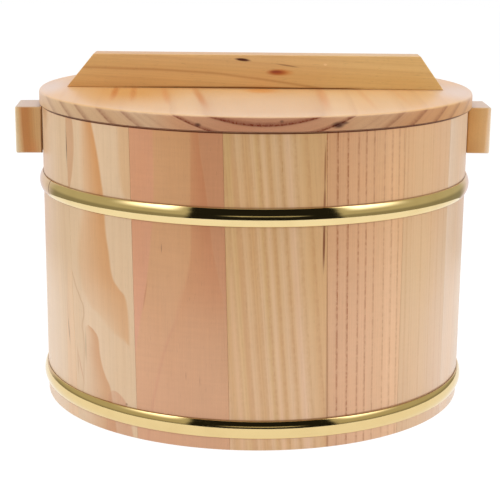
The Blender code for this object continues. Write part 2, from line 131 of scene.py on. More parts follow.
# Relief and roughness from fibres, flecks and late wood
FIBRE_RELIEF = 0.6
FLECK_RELIEF = 0.5
LATE_RELIEF = 0.3
FIBRE_ROUGHNESS = 0.2
LATE_ROUGHNESS = 0.08
WOOD_RELIEF = (0.22, 0.0004)
WOOD_SHINE = 0.6
# A metal's clouds, dulling, relief and seam
CLOUD_SCALE = 60.0
CLOUD_SPAN: Span = (0.45, 0.8)
DULL_ROUGHNESS = 0.05
METAL_RELIEF = (0.05, 0.0001)
SEAM_SPAN: Span = (0.2, 0.8)
SEAM_DEPTH: Span = (5.0, 8.0)


def tone(red: float, green: float, blue: float) -> Colour:
    """A colour written as eight-bit sRGB, in the linear values that a shader takes."""
    shares = [level / 255 for level in (red, green, blue)]
    return tuple(s / 12.92 if s <= 0.04045 else ((s + 0.055) / 1.055) ** 2.4 for s in shares)


def graded(*rows: tuple[float, float, float, float]) -> Stops:
    """Colours at their places across a board, each row a place in millimetres and eight-bit sRGB."""
    return tuple((place, tone(*levels)) for place, *levels in rows)


# Painted shade where the lid and the handle blocks meet the wood
CONTACT_SHADE = tone(88, 32, 6)
# Painted shade along the hoops' edges, and the dark of the hoops' seams
HOOP_SHADE_AND_SEAM = tone(142, 88, 36)


class Body(Enum):
    """The bodies of the frame."""

    BARREL = "barrel"
    LID = "lid"
    GRATE = "grate"


class Way(Enum):
    """The ways of a board's own frame."""

    ACROSS = 0
    DEPTH = 1
    ALONG = 2


class Slot(Enum):
    """The material slots of the record."""

    STAVES = "stave_fir"
    HOOPS = "hoop_brass"
    BLOCKS = "handle_block_wood"
    LID = "lid_fir"
    BAR = "handle_bar_wood"
    SCREWS = "screw_steel"
    NAILS = "nail_steel"
    PEGS = "peg_bamboo"
    GRATE = "grate_fir"


class Flow:
    """A value, vector or colour on its way from one node to the next."""

    def __init__(self, nodes: "Nodes", socket: bpy.types.NodeSocket) -> None:
        """Keeps the socket and the nodes that it belongs to."""
        self.nodes = nodes
        self.socket = socket

    def joined(self, operation: str, *sides: "Flow | float | Vector") -> "Flow":
        """Feeds sides to a Math node, or to a Vector Math node where one of them is a vector.

        Args:
            operation: The node's operation.
            sides: What goes into it, in order.

        Returns:
            The result.
        """
        vector = any(isinstance(side, Flow) and side.socket.type == "VECTOR" for side in sides)
        kind = "VectorMath" if vector else "Math"
        return self.nodes.make(kind, {"operation": operation}, dict(enumerate(sides)))

    @staticmethod
    def _operators(operation: str) -> tuple[Callable, Callable]:
        """Makes an operator and its reflection, for a number or vector on the left.

        Args:
            operation: The Math node's operation.

        Returns:
            Both methods.
        """
        return (
            lambda self, other: self.joined(operation, self, other),
            lambda self, other: self.joined(operation, other, self),
        )

    __add__, __radd__ = _operators("ADD")
    __sub__, __rsub__ = _operators("SUBTRACT")
    __mul__, __rmul__ = _operators("MULTIPLY")
    __truediv__, __rtruediv__ = _operators("DIVIDE")
    __pow__, __rpow__ = _operators("POWER")

    def __abs__(self) -> "Flow":
        """This without its sign."""
        return self.joined("ABSOLUTE", self)

    def most(self, other: "Flow | float") -> "Flow":
        """The larger of this and the other."""
        return self.joined("MAXIMUM", self, other)

    def floor(self) -> "Flow":
        """This rounded down."""
        return self.joined("FLOOR", self)

    def fraction(self) -> "Flow":
        """What this has past a whole number."""
        return self.joined("FRACT", self)

    def bearing(self, other: "Flow") -> "Flow":
        """The angle whose sine goes as this and whose cosine goes as the other."""
        return self.joined("ARCTAN2", self, other)

    def dot(self, axis: "Flow | Vector") -> "Flow":
        """How far this vector reaches along an axis."""
        settings = {"operation": "DOT_PRODUCT"}
        return self.nodes.make("VectorMath", settings, {0: self, 1: axis}, "Value")

    def smooth(self, low: "Flow | float", high: "Flow | float") -> "Flow":
        """Rises smoothly from 0 to 1 as this goes from low to high."""
        settings = {"interpolation_type": "SMOOTHSTEP"}
        return self.nodes.make("MapRange", settings, {0: self, 1: low, 2: high})

    def follow(self, curve: Curve) -> "Flow":
        """Reads a smooth curve at this value.

        Args:
            curve: Points of the curve, as where and how much.

        Returns:
            How much the curve says there.
        """
        places = [place for place, _ in curve]
        levels = [level for _, level in curve]
        start, span = min(places), max(places) - min(places)
        low, rise = min(levels), max(max(levels) - min(levels), SMALLEST_SPAN)
        points = sorted(((place - start) / span, (level - low) / rise) for place, level in curve)
        share = (self - start) / span
        read = self.nodes.make("FloatCurve", {"points": points}, {0: 1.0, 1: share})
        return read * rise + low

    def ramp(self, stops: Stops) -> "Flow":
        """Reads a colour ramp at this value.

        Args:
            stops: Where each colour is, in this value's own unit.

        Returns:
            The colour.
        """
        places = [place for place, _ in stops]
        start, span = min(places), max(max(places) - min(places), SMALLEST_SPAN)
        shares = [((place - start) / span, colour) for place, colour in sorted(stops)]
        return self.nodes.make("ValToRGB", {"stops": shares}, {0: (self - start) / span})

    def mixed(self, other: "Flow | Colour", share: "Flow | float", blend: str = "MIX") -> "Flow":
        """Mixes a share of another colour into this one, by one of the Mix node's blend types."""
        settings = {"data_type": "RGBA", "blend_type": blend}
        return self.nodes.make("Mix", settings, {0: share, 6: self, 7: other}, 2)


class Nodes:
    """The nodes of one material or world, and the one way to add to them."""

    def __init__(self, tree: bpy.types.NodeTree) -> None:
        """Starts from an empty tree."""
        self.tree = tree
        tree.nodes.clear()

    def make(
        self,
        kind: str,
        settings: dict[str, object] | None = None,
        inputs: dict[int | str, object] | None = None,
        output: int | str = 0,
    ) -> Flow:
        """Adds a node.

        Args:
            kind: The node's type, past the start that all have.
            settings: Its properties, or a ramp's stops, or a curve's points. They are set first.
            inputs: A value or a flow for each of its sockets.
            output: The socket that carries on.

        Returns:
            The flow out of the node.
        """
        node = self.tree.nodes.new(f"ShaderNode{kind}")
        for name, value in (settings or {}).items():
            if name == "stops":
                self._set_stops(node.color_ramp, value)
            elif name == "points":
                self._set_points(node.mapping, value)
            else:
                setattr(node, name, value)
        for key, value in (inputs or {}).items():
            socket = node.inputs[key]
            if isinstance(value, Flow):
                self.tree.links.new(value.socket, socket)
            elif socket.type == "RGBA":
                socket.default_value = (*value, 1.0)
            elif socket.type == "VECTOR" and isinstance(value, (int, float)):
                socket.default_value = (value, value, value)
            else:
                socket.default_value = value
        return Flow(self, node.outputs[output])

    @staticmethod
    def _set_stops(ramp: bpy.types.ColorRamp, stops: list[tuple[float, Colour]]) -> None:
        """Gives a ramp its stops.

        Args:
            ramp: The ramp.
            stops: The place, from 0 to 1, and the colour of each.
        """
        while len(ramp.elements) > 1:
            ramp.elements.remove(ramp.elements[-1])
        for number, (place, colour) in enumerate(stops):
            stop = ramp.elements[0] if number == 0 else ramp.elements.new(place)
            stop.position = place
            stop.color = (*colour, 1.0)

    @staticmethod
    def _set_points(mapping: bpy.types.CurveMapping, points: list[tuple[float, float]]) -> None:
        """Gives a curve its points.

        Args:
            mapping: The mapping that has the curve.
            points: Its points, from left to right.
        """
        mapping.extend = "HORIZONTAL"
        curve = mapping.curves[0]
        curve.points[0].location = points[0]
        curve.points[-1].location = points[-1]
        for point in points[1:-1]:
            curve.points.new(*point)
        mapping.update()

    def noise(self, vector: Flow, detail: float = 2.0, rough: float = 0.5) -> Flow:
        """Noise about 0.5 at a point, with so many finer layers and so much of each."""
        inputs = {"Vector": vector, "Scale": 1.0, "Detail": detail, "Roughness": rough}
        return self.make("TexNoise", {"noise_dimensions": "3D"}, inputs)

    def line_noise(self, value: Flow) -> Flow:
        """Noise about 0.5 that depends on one value alone."""
        inputs = {"W": value, "Scale": 1.0, "Detail": 0.0}
        return self.make("TexNoise", {"noise_dimensions": "1D"}, inputs)

    def bump(self, height: Flow, strength: float, distance: float) -> Flow:
        """The normal of a surface with fine relief."""
        inputs = {"Strength": strength, "Distance": distance, "Height": height}
        return self.make("Bump", {}, inputs)

    def vector(self, x: Flow, y: Flow, z: Flow) -> Flow:
        """Three values as one vector."""
        return self.make("CombineXYZ", {}, {0: x, 1: y, 2: z})

    def place(self) -> Flow:
        """The point being shaded, in the row frame at rest."""
        return self.make("TexCoord", output="Object")

    def finish(self, shader: Flow, kind: str = "OutputMaterial") -> None:
        """Sends a shader to the output."""
        out = self.tree.nodes.new(f"ShaderNode{kind}")
        self.tree.links.new(shader.socket, out.inputs["Surface"])


def new_material(name: str) -> tuple[Material, Nodes]:
    """Makes a material.

    Args:
        name: The material's name.

    Returns:
        The material and its empty tree of nodes.
    """
    material = bpy.data.materials.new(name)
    material.use_nodes = True
    return material, Nodes(material.node_tree)


@dataclass(frozen=True)
class Board:
    """A board's own frame: a point on its face, and the ways across it, into it and along its grain."""

    origin: Vector
    across: Vector
    depth: Vector
    along: Vector

    def coordinates(self, nodes: Nodes) -> tuple[Flow, Flow, Flow]:
        """Millimetres across, into and along the board at the point being shaded."""
        start = nodes.place() - self.origin
        return tuple(start.dot(axis) * MILLIMETRES for axis in (self.across, self.depth, self.along))


@dataclass(frozen=True)
class PlainCut:
    """A cut whose rings run straight up the face, with a lean.

    Attributes:
        lean: How far the rings move across for each millimetre along.
        slope: How far they move across for each millimetre of depth.
    """

    lean: float = 0.0
    slope: float = 0.15

    def ring_place(self, across: Flow, depth: Flow, along: Flow) -> Flow:
        """Where the point lies across the rings, in millimetres."""
        return across - along * self.lean - depth * self.slope


@dataclass(frozen=True)
class LogCut:
    """A cut through the rings round a pith that runs beside the board.

    Attributes:
        pith_across: How far across the board the pith lies.
        pith_depth: How deep it lies, less than zero where it is in front of the face.
        lean_across: How far it moves across for each millimetre along.
        lean_depth: How far it moves in for each millimetre along.
    """

    pith_across: float
    pith_depth: float
    lean_across: float = 0.0
    lean_depth: float = 0.0

    def ring_place(self, across: Flow, depth: Flow, along: Flow) -> Flow:
        """Works out where the point lies across the rings.

        Args:
            across: Millimetres across the board.
            depth: Millimetres into it.
            along: Millimetres along it.

        Returns:
            The point's distance from the pith, in millimetres.
        """
        side = across - self.pith_across - along * self.lean_across
        into = depth - self.pith_depth - along * self.lean_depth
        return (side**2 + into**2) ** 0.5


@dataclass(frozen=True)
class Flame:
    """A coloured band up a board between two curved edges.

    Attributes:
        left: The left edge, as height along the board and place across it.
        right: The right edge.
        colour: The band's colour where it is strongest.
        strength: How much of it there is, as height along the board and share.
        left_soft: Half the width over which the left edge fades.
        right_soft: Half the width over which the right edge fades.
        start: How much of the strength the left side has, since a ring darkens to the right.
    """

    left: Curve
    right: Curve
    colour: Colour
    strength: Curve = ((0, 1), (200, 1))
    left_soft: float = 3.0
    right_soft: float = 0.8
    start: float = 0.5

    def over(self, colour: Flow, across: Flow, along: Flow) -> Flow:
        """Lays the band over a colour.

        Args:
            colour: The colour below.
            across: Millimetres across the board.
            along: Millimetres along it.

        Returns:
            The colour with the band in it.
        """
        from_left = across - along.follow(self.left)
        to_right = along.follow(self.right) - across
        inside = from_left.smooth(-self.left_soft, self.left_soft)
        inside = inside * to_right.smooth(-self.right_soft, self.right_soft)
        rise = (from_left / (from_left + to_right).most(1.0)).smooth(-0.1, 1.0)
        share = inside * (rise * (1 - self.start) + self.start) * along.follow(self.strength)
        return colour.mixed(self.colour, share)


@dataclass(frozen=True)
class Spot:
    """A knot, resin pocket, stain, or patch of painted shade and sheen: an ellipse across and along a board,
    sunk a little into it.

    Attributes:
        across: Where its middle is across the board.
        along: Where its middle is along the board.
        half_across: Half its size across.
        half_along: Half its size along.
        colour: Its colour.
        strength: How much of it there is.
        lean: How far it moves across for each millimetre along.
        soft: The share of its size over which it fades.
        depth: How deep it goes from its middle.
        sunk: How deep its middle lies.
    """

    across: float
    along: float
    half_across: float
    half_along: float
    colour: Colour
    strength: float = 0.8
    lean: float = 0.0
    soft: float = 0.6
    depth: float = 6.0
    sunk: float = 0.0

    def over(self, colour: Flow, across: Flow, depth: Flow, along: Flow) -> Flow:
        """Lays the spot over a colour.

        Args:
            colour: The colour below.
            across: Millimetres across the board.
            depth: Millimetres into it.
            along: Millimetres along it.

        Returns:
            The colour with the spot in it.
        """
        up = along - self.along
        side = (across - self.across - up * self.lean) / self.half_across
        into = (depth - self.sunk) / self.depth
        reach = (side**2 + (up / self.half_along) ** 2 + into**2) ** 0.5
        return colour.mixed(self.colour, (1 - reach.smooth(1 - self.soft, 1.0)) * self.strength)


@dataclass(frozen=True)
class PaintedShadeLine:
    """A thin line of painted shade where the wood meets another piece.

    Attributes:
        way: The way of the board that it lies across.
        middle: Where it is, in millimetres.
        half: Half its width.
        share: How dark it is.
        colour: Its colour.
    """

    way: Way
    middle: float
    half: float
    share: float
    colour: Colour = CONTACT_SHADE

    def over(self, colour: Flow, place: tuple[Flow, Flow, Flow], facing: Flow) -> Flow:
        """Lays the painted shade over a colour, but not on faces that look along its way or lie deep in the
        board.

        Args:
            colour: The colour below.
            place: Millimetres across, into and along the board.
            facing: How squarely the face looks along the line's way, from 0 to 1.

        Returns:
            The colour with the line in it.
        """
        away = abs(place[self.way.value] - self.middle)
        shallow = 1 - place[Way.DEPTH.value].smooth(LINE_DEPTH - 1, LINE_DEPTH)
        seen = (1 - facing.smooth(*LINE_SPAN)) * shallow
        near = 1 - away.smooth(self.half * LINE_CORE, self.half)
        return colour.mixed(self.colour, near * seen * self.share)


@dataclass(frozen=True)
class Wood:
    """A bare board of softwood.

    Attributes:
        tones: Its colours across the rings, in millimetres.
        cut: How it was cut from its log.
        late: The colour of the dark late wood that ends each ring.
        lines: Rings that show plainly, as place, strength and width.
        ring: The spacing of the fainter rings between them.
        faint: How strong those are.
        waver: How far the rings wander.
        flames: Bands of colour up the face.
        spots: Knots, pockets and stains, and patches of painted shade and sheen.
        fibre: How much the fibres streak the colour.
        fleck: How dark the fine short flecks are.
        end_shade: How much light end grain keeps.
        roughness: How rough the surface is.
        seed: Moves all noise, so that no two boards are alike.
        blush: How much of the warmer tint its patches have.
        painted_light_along: Painted light and shade, as tints by the place along the board, or none.
        broken: How far the late wood breaks off along the board.
        ripple: How much the fine ripple across the grain changes the shade.
        side_tints: Tints of the cut sides by the place across the board, or none.
        face_late: The share of the late wood that shows on the face, where the sides have tints.
        painted_sheen_tone: The pale colour painted on the face alone as its sheen, or none.
        painted_shade_lines: Lines of painted shade beside other pieces.
    """

    tones: Stops
    cut: PlainCut | LogCut = PlainCut()
    late: Colour = tone(160, 100, 62)
    lines: tuple[tuple[float, float, float], ...] = ()
    ring: float = 3.0
    faint: float = 0.12
    waver: float = 1.5
    flames: tuple[Flame, ...] = ()
    spots: tuple[Spot, ...] = ()
    fibre: float = 0.07
    fleck: float = 0.12
    end_shade: float = 0.86
    roughness: float = 0.34
    seed: float = 0.0
    blush: float = 0.2
    painted_light_along: Stops = ()
    broken: float = 0.25
    ripple: float = 0.035
    side_tints: Stops = ()
    face_late: float = 1.0
    painted_sheen_tone: Colour | None = None
    painted_shade_lines: tuple[PaintedShadeLine, ...] = ()

    def _late_wood(self, nodes: Nodes, place: Flow) -> Flow:
        """Works out how much late wood there is.

        Args:
            nodes: The material's nodes.
            place: Millimetres across the rings.

        Returns:
            How much there is, from 0 to 1.
        """
        count = place / self.ring + nodes.line_noise(place * UNEVEN_SCALE + self.seed) * UNEVEN
        part = count.fraction()
        each = nodes.line_noise(count.floor() * EACH_RING + self.seed).smooth(*RING_SPAN)
        each = each * RING_SHARE + (1 - RING_SHARE)
        late = part.smooth(*RISE_SPAN) * (1 - part.smooth(*FALL_SPAN)) * each * self.faint
        for start in range(0, len(self.lines), RAMP_LINES):
            stops = []
            for middle, strength, width in self.lines[start : start + RAMP_LINES]:
                end = middle + width * LINE_END
                stops += [(middle - width, BLACK), (middle, (strength,) * 3), (end, BLACK)]
            late = late.most(place.ramp(tuple(stops)))
        return late

    def _tinted(self, colour: Flow, late: Flow, across: Flow, along: Flow, side: Flow) -> Flow:
        """Lays late wood, the face's painted sheen and tints, painted light along the board among them, over
        the wood's own colour.

        Args:
            colour: The colour below.
            late: How much late wood there is.
            across: Millimetres across the board.
            along: Millimetres along it.
            side: 1 on the cut sides and 0 on the face.

        Returns:
            The tinted colour.
        """
        colour = colour.mixed(self.late, late)
        if self.side_tints:
            colour = colour.mixed(across.ramp(self.side_tints), side, "MULTIPLY")
        if self.painted_sheen_tone:
            colour = colour.mixed(self.painted_sheen_tone, (1 - side) * PAINTED_SHEEN_SHARE)
        if self.painted_light_along:
            stops = tuple((height, tuple(level / PAINTED_LIGHT_TOP for level in tint)) for height, tint in self.painted_light_along)
            colour = colour.mixed(along.ramp(stops), 1.0, "MULTIPLY")
            colour = colour.mixed((PAINTED_LIGHT_TOP,) * 3, 1.0, "MULTIPLY")
        return colour

    def material(self, name: str, board: Board) -> Material:
        """Makes the board's material.

        Args:
            name: The material's name.
            board: The board's own frame.

        Returns:
            The material.
        """
        material, nodes = new_material(name)
        across, depth, along = board.coordinates(nodes)
        grained = nodes.vector(across, depth, along) + self.seed * SEED_STEP
        wander = (nodes.noise(grained * WANDER_SCALE) - 0.5) * (2 * self.waver)
        across = across + wander
        place = self.cut.ring_place(across, depth, along)
        breaks = nodes.noise(grained * BREAK_SCALE, 2.0).smooth(*BREAK_SPAN)
        late = self._late_wood(nodes, place) * (1 - breaks * self.broken)
        normal = nodes.make("NewGeometry", output="Normal")
        colour = place.ramp(self.tones)
        for flame in self.flames:
            colour = flame.over(colour, across, along)
        side = 1 - abs(normal.dot(board.depth)).smooth(*FACE_SPAN)
        if self.side_tints:
            late = late * (side * (1 - self.face_late) + self.face_late)
        colour = self._tinted(colour, late, across, along, side)
        patches = nodes.noise(grained * PATCH_SCALE + PATCH_STEP, 3.0)
        colour = colour.mixed(WARM_TINT, patches.smooth(*PATCH_SPAN) * self.blush, "MULTIPLY")

        fibres = nodes.noise(grained * FIBRE_SCALE, 3.0, 0.6)
        mottle = (nodes.noise(grained * MOTTLE_SCALE, 2.0) - 0.5) * MOTTLE
        ripple = (nodes.noise(grained * RIPPLE_SCALE, 1.0) - 0.5) * self.ripple
        shade = (fibres - 0.5) * (2 * self.fibre) + mottle + ripple + 1.0
        flecks = nodes.noise(grained * FLECK_SCALE, 1.0).smooth(*FLECK_SPAN)
        pores = nodes.noise(grained * PORE_SCALE, 1.0).smooth(*PORE_SPAN)
        end = abs(normal.dot(board.along)).smooth(*END_SPAN)
        shade = shade * (1 - flecks * self.fleck) * (1 - end * (pores * PORES + (1 - self.end_shade)))
        colour = colour.mixed(shade, 1.0, "MULTIPLY")
        for spot in self.spots:
            colour = spot.over(colour, across, depth, along)
        for line in self.painted_shade_lines:
            axis = (board.across, board.depth, board.along)[line.way.value]
            colour = line.over(colour, (across, depth, along), abs(normal.dot(axis)))

        height = fibres * FIBRE_RELIEF - flecks * FLECK_RELIEF - late * LATE_RELIEF
        rough = (fibres - 0.5) * FIBRE_ROUGHNESS - late * LATE_ROUGHNESS + self.roughness
        bump = nodes.bump(height, *WOOD_RELIEF)
        look = {"Base Color": colour, "Roughness": rough, "Specular IOR Level": WOOD_SHINE, "Normal": bump}
        nodes.finish(nodes.make("BsdfPrincipled", {}, look))
        return material


@dataclass(frozen=True)
class Metal:
    """A bright metal with fine lines from polishing or turning.

    Attributes:
        colour: The metal's colour.
        dulled: Its colour where it has dulled.
        roughness: How rough it is where it is brightest.
        lines: How much rougher the finest lines are.
        grain: The noise's scale along X, Y and Z, so that the lines run one way.
    """

    colour: Colour
    dulled: Colour
    roughness: float
    lines: float
    grain: Vector

    def material(self, name: str, seam: Board | None = None) -> Material:
        """Makes the metal's material.

        Args:
            name: The material's name.
            seam: The frame of a seam that shows as a dark line, if it has one.

        Returns:
            The material.
        """
        material, nodes = new_material(name)
        place = nodes.place()
        lines = nodes.noise(place * self.grain, 3.0, 0.6)
        cloud = nodes.noise(place * CLOUD_SCALE, 3.0)
        dull = cloud.smooth(*CLOUD_SPAN)
        colour = cloud.ramp(((0.0, self.colour), (CLOUD_SPAN[0], self.colour), (1.0, self.dulled)))
        if seam:
            across, depth, _ = seam.coordinates(nodes)
            line = (1 - abs(across).smooth(*SEAM_SPAN)) * (1 - abs(depth).smooth(*SEAM_DEPTH))
            colour = colour.mixed(HOOP_SHADE_AND_SEAM, line)
        rough = lines * self.lines + dull * DULL_ROUGHNESS + self.roughness
        bump = nodes.bump(lines, *METAL_RELIEF)
        look = {"Base Color": colour, "Metallic": 1.0, "Roughness": rough, "Normal": bump}
        nodes.finish(nodes.make("BsdfPrincipled", {}, look))
        return material


TURNED = Vector((40.0, 40.0, 5200.0))
# The lower hoop's brass is a darker copy, painted shade for the shadowed floor that it reflects near the
# foot
SHADED_LOWER_BRASS = Metal(tone(228, 202, 145), tone(219, 191, 134), 0.05, 0.05, TURNED)
UPPER_BRASS = Metal(tone(234, 210, 155), tone(225, 199, 143), 0.04, 0.05, TURNED)
STEEL = Metal(tone(190, 188, 182), tone(150, 146, 138), 0.22, 0.15, Vector((900.0, 900.0, 900.0)))


class Shape:
    """A mesh in the making, in the row frame."""

    def __init__(self) -> None:
        """Starts with no points."""
        self.points: list[Vector] = []
        self.faces: list[tuple[int, ...]] = []

    def loop(self, points: list[Vector]) -> list[int]:
        """Adds points.

        Args:
            points: The points.

        Returns:
            Their numbers.
        """
        start = len(self.points)
        self.points.extend(points)
        return list(range(start, len(self.points)))

    def bridge(self, first: list[int], second: list[int], closed: bool = True) -> None:
        """Joins two loops of the same length with a strip of faces, a loop of one point with a fan.

        Args:
            first: One loop's numbers.
            second: The other's.
            closed: Whether the loops go all the way round.
        """
        count = max(len(first), len(second))
        for step in range(count if closed else count - 1):
            after = (step + 1) % count
            if len(first) == 1:
                self.faces.append((first[0], second[after], second[step]))
            elif len(second) == 1:
                self.faces.append((first[step], first[after], second[0]))
            else:
                self.faces.append((first[step], first[after], second[after], second[step]))

    def swept(self, sections: list[list[Vector]]) -> "Shape":
        """Joins closed sections one after another, and closes both ends.

        Args:
            sections: The sections, all with the same number of points.

        Returns:
            This shape.
        """
        loops = [self.loop(section) for section in sections]
        for first, second in zip(loops, loops[1:]):
            self.bridge(first, second)
        self.faces.append(tuple(loops[0]))
        self.faces.append(tuple(reversed(loops[-1])))
        return self

    def turned(self, profile: list[tuple[float, float]], steps: int, matrix: Matrix = Matrix()) -> "Shape":
        """Spins a profile about Z.

        Args:
            profile: Points as radius and height, from one end to the other.
            steps: How many steps make a whole turn.
            matrix: Where the turned shape goes.

        Returns:
            This shape.
        """
        loops = []
        for radius, height in profile:
            turns = [FULL_TURN * step / steps for step in range(steps if radius > 0 else 1)]
            ring = [Vector((radius * math.cos(t), radius * math.sin(t), height)) for t in turns]
            loops.append(self.loop([matrix @ point for point in ring]))
        for first, second in zip(loops, loops[1:]):
            self.bridge(first, second)
        return self

    def solid(self) -> bmesh.types.BMesh:
        """Makes a bmesh of this shape.

        Returns:
            The bmesh, with its faces turned out.
        """
        bm = bmesh.new()
        points = [bm.verts.new(point) for point in self.points]
        for face in self.faces:
            bm.faces.new([points[number] for number in face])
        bmesh.ops.recalc_face_normals(bm, faces=bm.faces)
        return bm

    def object(self, name: str, sharp: float = SHARP_ANGLE) -> Object:
        """This shape as an object, smooth but for its corners from an angle in degrees."""
        return mesh_object(name, self.solid(), sharp)


def mesh_object(name: str, bm: bmesh.types.BMesh, sharp: float) -> Object:
    """Makes an object of a bmesh, smooth but for its sharp corners.

    Args:
        name: The object's name.
        bm: The bmesh, which is freed.
        sharp: The angle, in degrees, from which a corner is sharp.

    Returns:
        The object.
    """
    bmesh.ops.recalc_face_normals(bm, faces=bm.faces)
    mesh = bpy.data.meshes.new(name)
    bm.to_mesh(mesh)
    bm.free()
    mesh.shade_smooth()
    mesh.set_sharp_from_angle(angle=math.radians(sharp))
    return placed(bpy.data.objects.new(name, mesh))


def placed(obj: Object) -> Object:
    """Puts an object in the scene."""
    bpy.context.scene.collection.objects.link(obj)
    return obj


def block_shape(corners: list[Vector]) -> Shape:
    """The shape of a block whose lower four corners and then upper four go the same way round."""
    return Shape().swept([corners[:4], corners[4:]])


def eased_block(name: str, corners: list[Vector], ease: float) -> Object:
    """Makes a six-sided block with rounded edges.

    Args:
        name: The object's name.
        corners: Its eight corners, as block_shape takes them.
        ease: How far its edges are rounded.

    Returns:
        The object.
    """
    bm = block_shape(corners).solid()
    bmesh.ops.bevel(bm, geom=bm.edges, offset=ease, segments=EDGE_STEPS, profile=0.5, affect="EDGES")
    return mesh_object(name, bm, SHARP_BLOCK_ANGLE)


def rounded_bar(outline: list[tuple[Vector, float]], ends: list[tuple[float, float]]) -> Shape:
    """Makes a bar along its own Y with a rounded outline and eased ends.

    Args:
        outline: The corners in its XZ plane, each with its rounding.
        ends: How far the outline is drawn in, and the place along Y, one row for each section.

    Returns:
        The shape.
    """
    sections = []
    for inset, along in ends:
        ring = []
        for number, (corner, ease) in enumerate(outline):
            before = (outline[number - 1][0] - corner).normalized()
            after = (outline[(number + 1) % len(outline)][0] - corner).normalized()
            bisector = before + after
            drawn = corner + bisector * inset
            round_ease = max(ease - inset, ease * LEAST_EASE)
            start, end = drawn + before * round_ease, drawn + after * round_ease
            for step in range(CORNER_STEPS + 1):
                share = step / CORNER_STEPS
                point = start.lerp(drawn, share).lerp(drawn.lerp(end, share), share)
                ring.append(Vector((point.x, along, point.z)))
        sections.append(ring)
    return Shape().swept(sections)


def box_corners(low: Vector, high: Vector) -> list[Vector]:
    """The eight corners of a box, lower ones first, each four the same way round."""
    ring = [(low.x, low.y), (high.x, low.y), (high.x, high.y), (low.x, high.y)]
    return [Vector((x, y, z)) for z in (low.z, high.z) for x, y in ring]


def carved(obj: Object, cutters: list[Object]) -> Object:
    """Cuts shapes out of an object for good, and removes them.

    Args:
        obj: The object.
        cutters: What to cut out of it.

    Returns:
        The object.
    """
    for cutter in cutters:
        modifier = obj.modifiers.new("cut", "BOOLEAN")
        modifier.operation = "DIFFERENCE"
        modifier.solver = "EXACT"
        modifier.object = cutter
    graph = bpy.context.evaluated_depsgraph_get()
    mesh = bpy.data.meshes.new_from_object(obj.evaluated_get(graph))
    obj.modifiers.clear()
    obj.data = mesh
    mesh.shade_smooth()
    mesh.set_sharp_from_angle(angle=math.radians(SHARP_ANGLE))
    for cutter in cutters:
        bpy.data.objects.remove(cutter, do_unlink=True)
    return obj


def aimed(point: Vector, direction: Vector) -> Matrix:
    """A place at a point, with its -Z along a direction."""
    return Matrix.Translation(point) @ direction.to_track_quat("-Z", "Y").to_matrix().to_4x4()


def show(piece: Object, material: Material, body: Body, slot: Slot, *nodes: str) -> None:
    """Dresses a piece, gives it its body and hides the frame's nodes that it stands for.

    Args:
        piece: The piece, in place.
        material: Its finish.
        body: The body that it rides on.
        slot: The record's slot for its finish. Not used.
        nodes: The frame's nodes that it stands for.
    """
    piece.data.materials.clear()
    piece.data.materials.append(material)
    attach(piece, body.value)
    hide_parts(*nodes)
    LOG.info("%s rides on %s and stands for %s", piece.name, body.value, ", ".join(nodes))


def polar(angle: float, radius: float, height: float = 0.0) -> Vector:
    """The point at an angle round the barrel, a radius and a height."""
    return Vector((radius * math.sin(angle), -radius * math.cos(angle), height))


def tangent(angle: float) -> Vector:
    """The level way along the wall at an angle, towards the next stave."""
    return Vector((math.cos(angle), math.sin(angle), 0.0))


def quarter_round(ease: float, steps: int) -> list[tuple[float, float]]:
    """A rounded edge as inset and distance from the end, from the end face inwards."""
    turns = [math.pi / 2 * step / steps for step in range(steps + 1)]
    return [(ease * (1 - math.sin(turn)), ease * (1 - math.cos(turn))) for turn in turns]


@dataclass(frozen=True)
class StavePlan:
    """One stave: its width along the outside at the rim and at the foot, and its wood."""

    rim: float
    foot: float
    wood: Wood


@dataclass(frozen=True)
class Hoop:
    """One hoop: its middle's height, its seam's angle in degrees, its tilt in radians and its brass."""

    name: str
    height: float
    seam_angle: float
    tilt: float
    brass: Metal


@dataclass(frozen=True)
class Block:
    """One side handle block: its stave, its turn from the stave's middle, its depth and its drop."""

    side: str
    stave: int
    turn: float
    depth: float
    drop: float


@dataclass(frozen=True)
class WoodScrew:
    """A countersunk wood screw with a cross recess."""

    length: float
    head: float = 0.0036
    shank: float = 0.0018
    head_depth: float = 0.0022
    point: float = 0.0040
    steps: int = 32
    slot_length: float = 0.0042
    slot_width: float = 0.0008
    slot_depth: float = 0.0016
    head_ease: float = 0.0002
    play: float = 0.0003

    def build(self, name: str, place: Matrix) -> Object:
        """Makes the screw with its head at a place and its point along the place's -Z.

        Args:
            name: The object's name.
            place: Where the head's face is.

        Returns:
            The object.
        """
        profile = [(0.0, 0.0), (self.head - self.head_ease, 0.0), (self.head, -self.head_ease)]
        profile += [(self.shank, -self.head_depth), (self.shank, self.point - self.length)]
        profile.append((0.0, -self.length))
        screw = Shape().turned(profile, self.steps, place).object(name)
        cutters = []
        arms = ((self.slot_length, self.slot_width), (self.slot_width, self.slot_length))
        for number, (long, wide) in enumerate(arms):
            low = Vector((-long / 2, -wide / 2, -self.slot_depth))
            high = Vector((long / 2, wide / 2, self.head))
            recess = block_shape([place @ corner for corner in box_corners(low, high)])
            cutters.append(recess.object(f"{name}_recess_{number}"))
        return carved(screw, cutters)

    def hole(self, name: str, place: Matrix) -> Object:
        """Makes the cutter of the screw's hole.

        Args:
            name: The cutter's name.
            place: Where the head's face is.

        Returns:
            The cutter.
        """
        head, shank = self.head + self.play, self.shank + self.play
        profile = [(0.0, self.head_depth), (head, self.head_depth), (head, 0.0), (shank, -self.head_depth)]
        profile += [(shank, self.point - self.length), (0.0, -self.length - self.play)]
        return Shape().turned(profile, self.steps, place).object(name)


def upright(place: float) -> Curve:
    """A band's edge that runs straight up the board."""
    return ((0, place), (193, place))


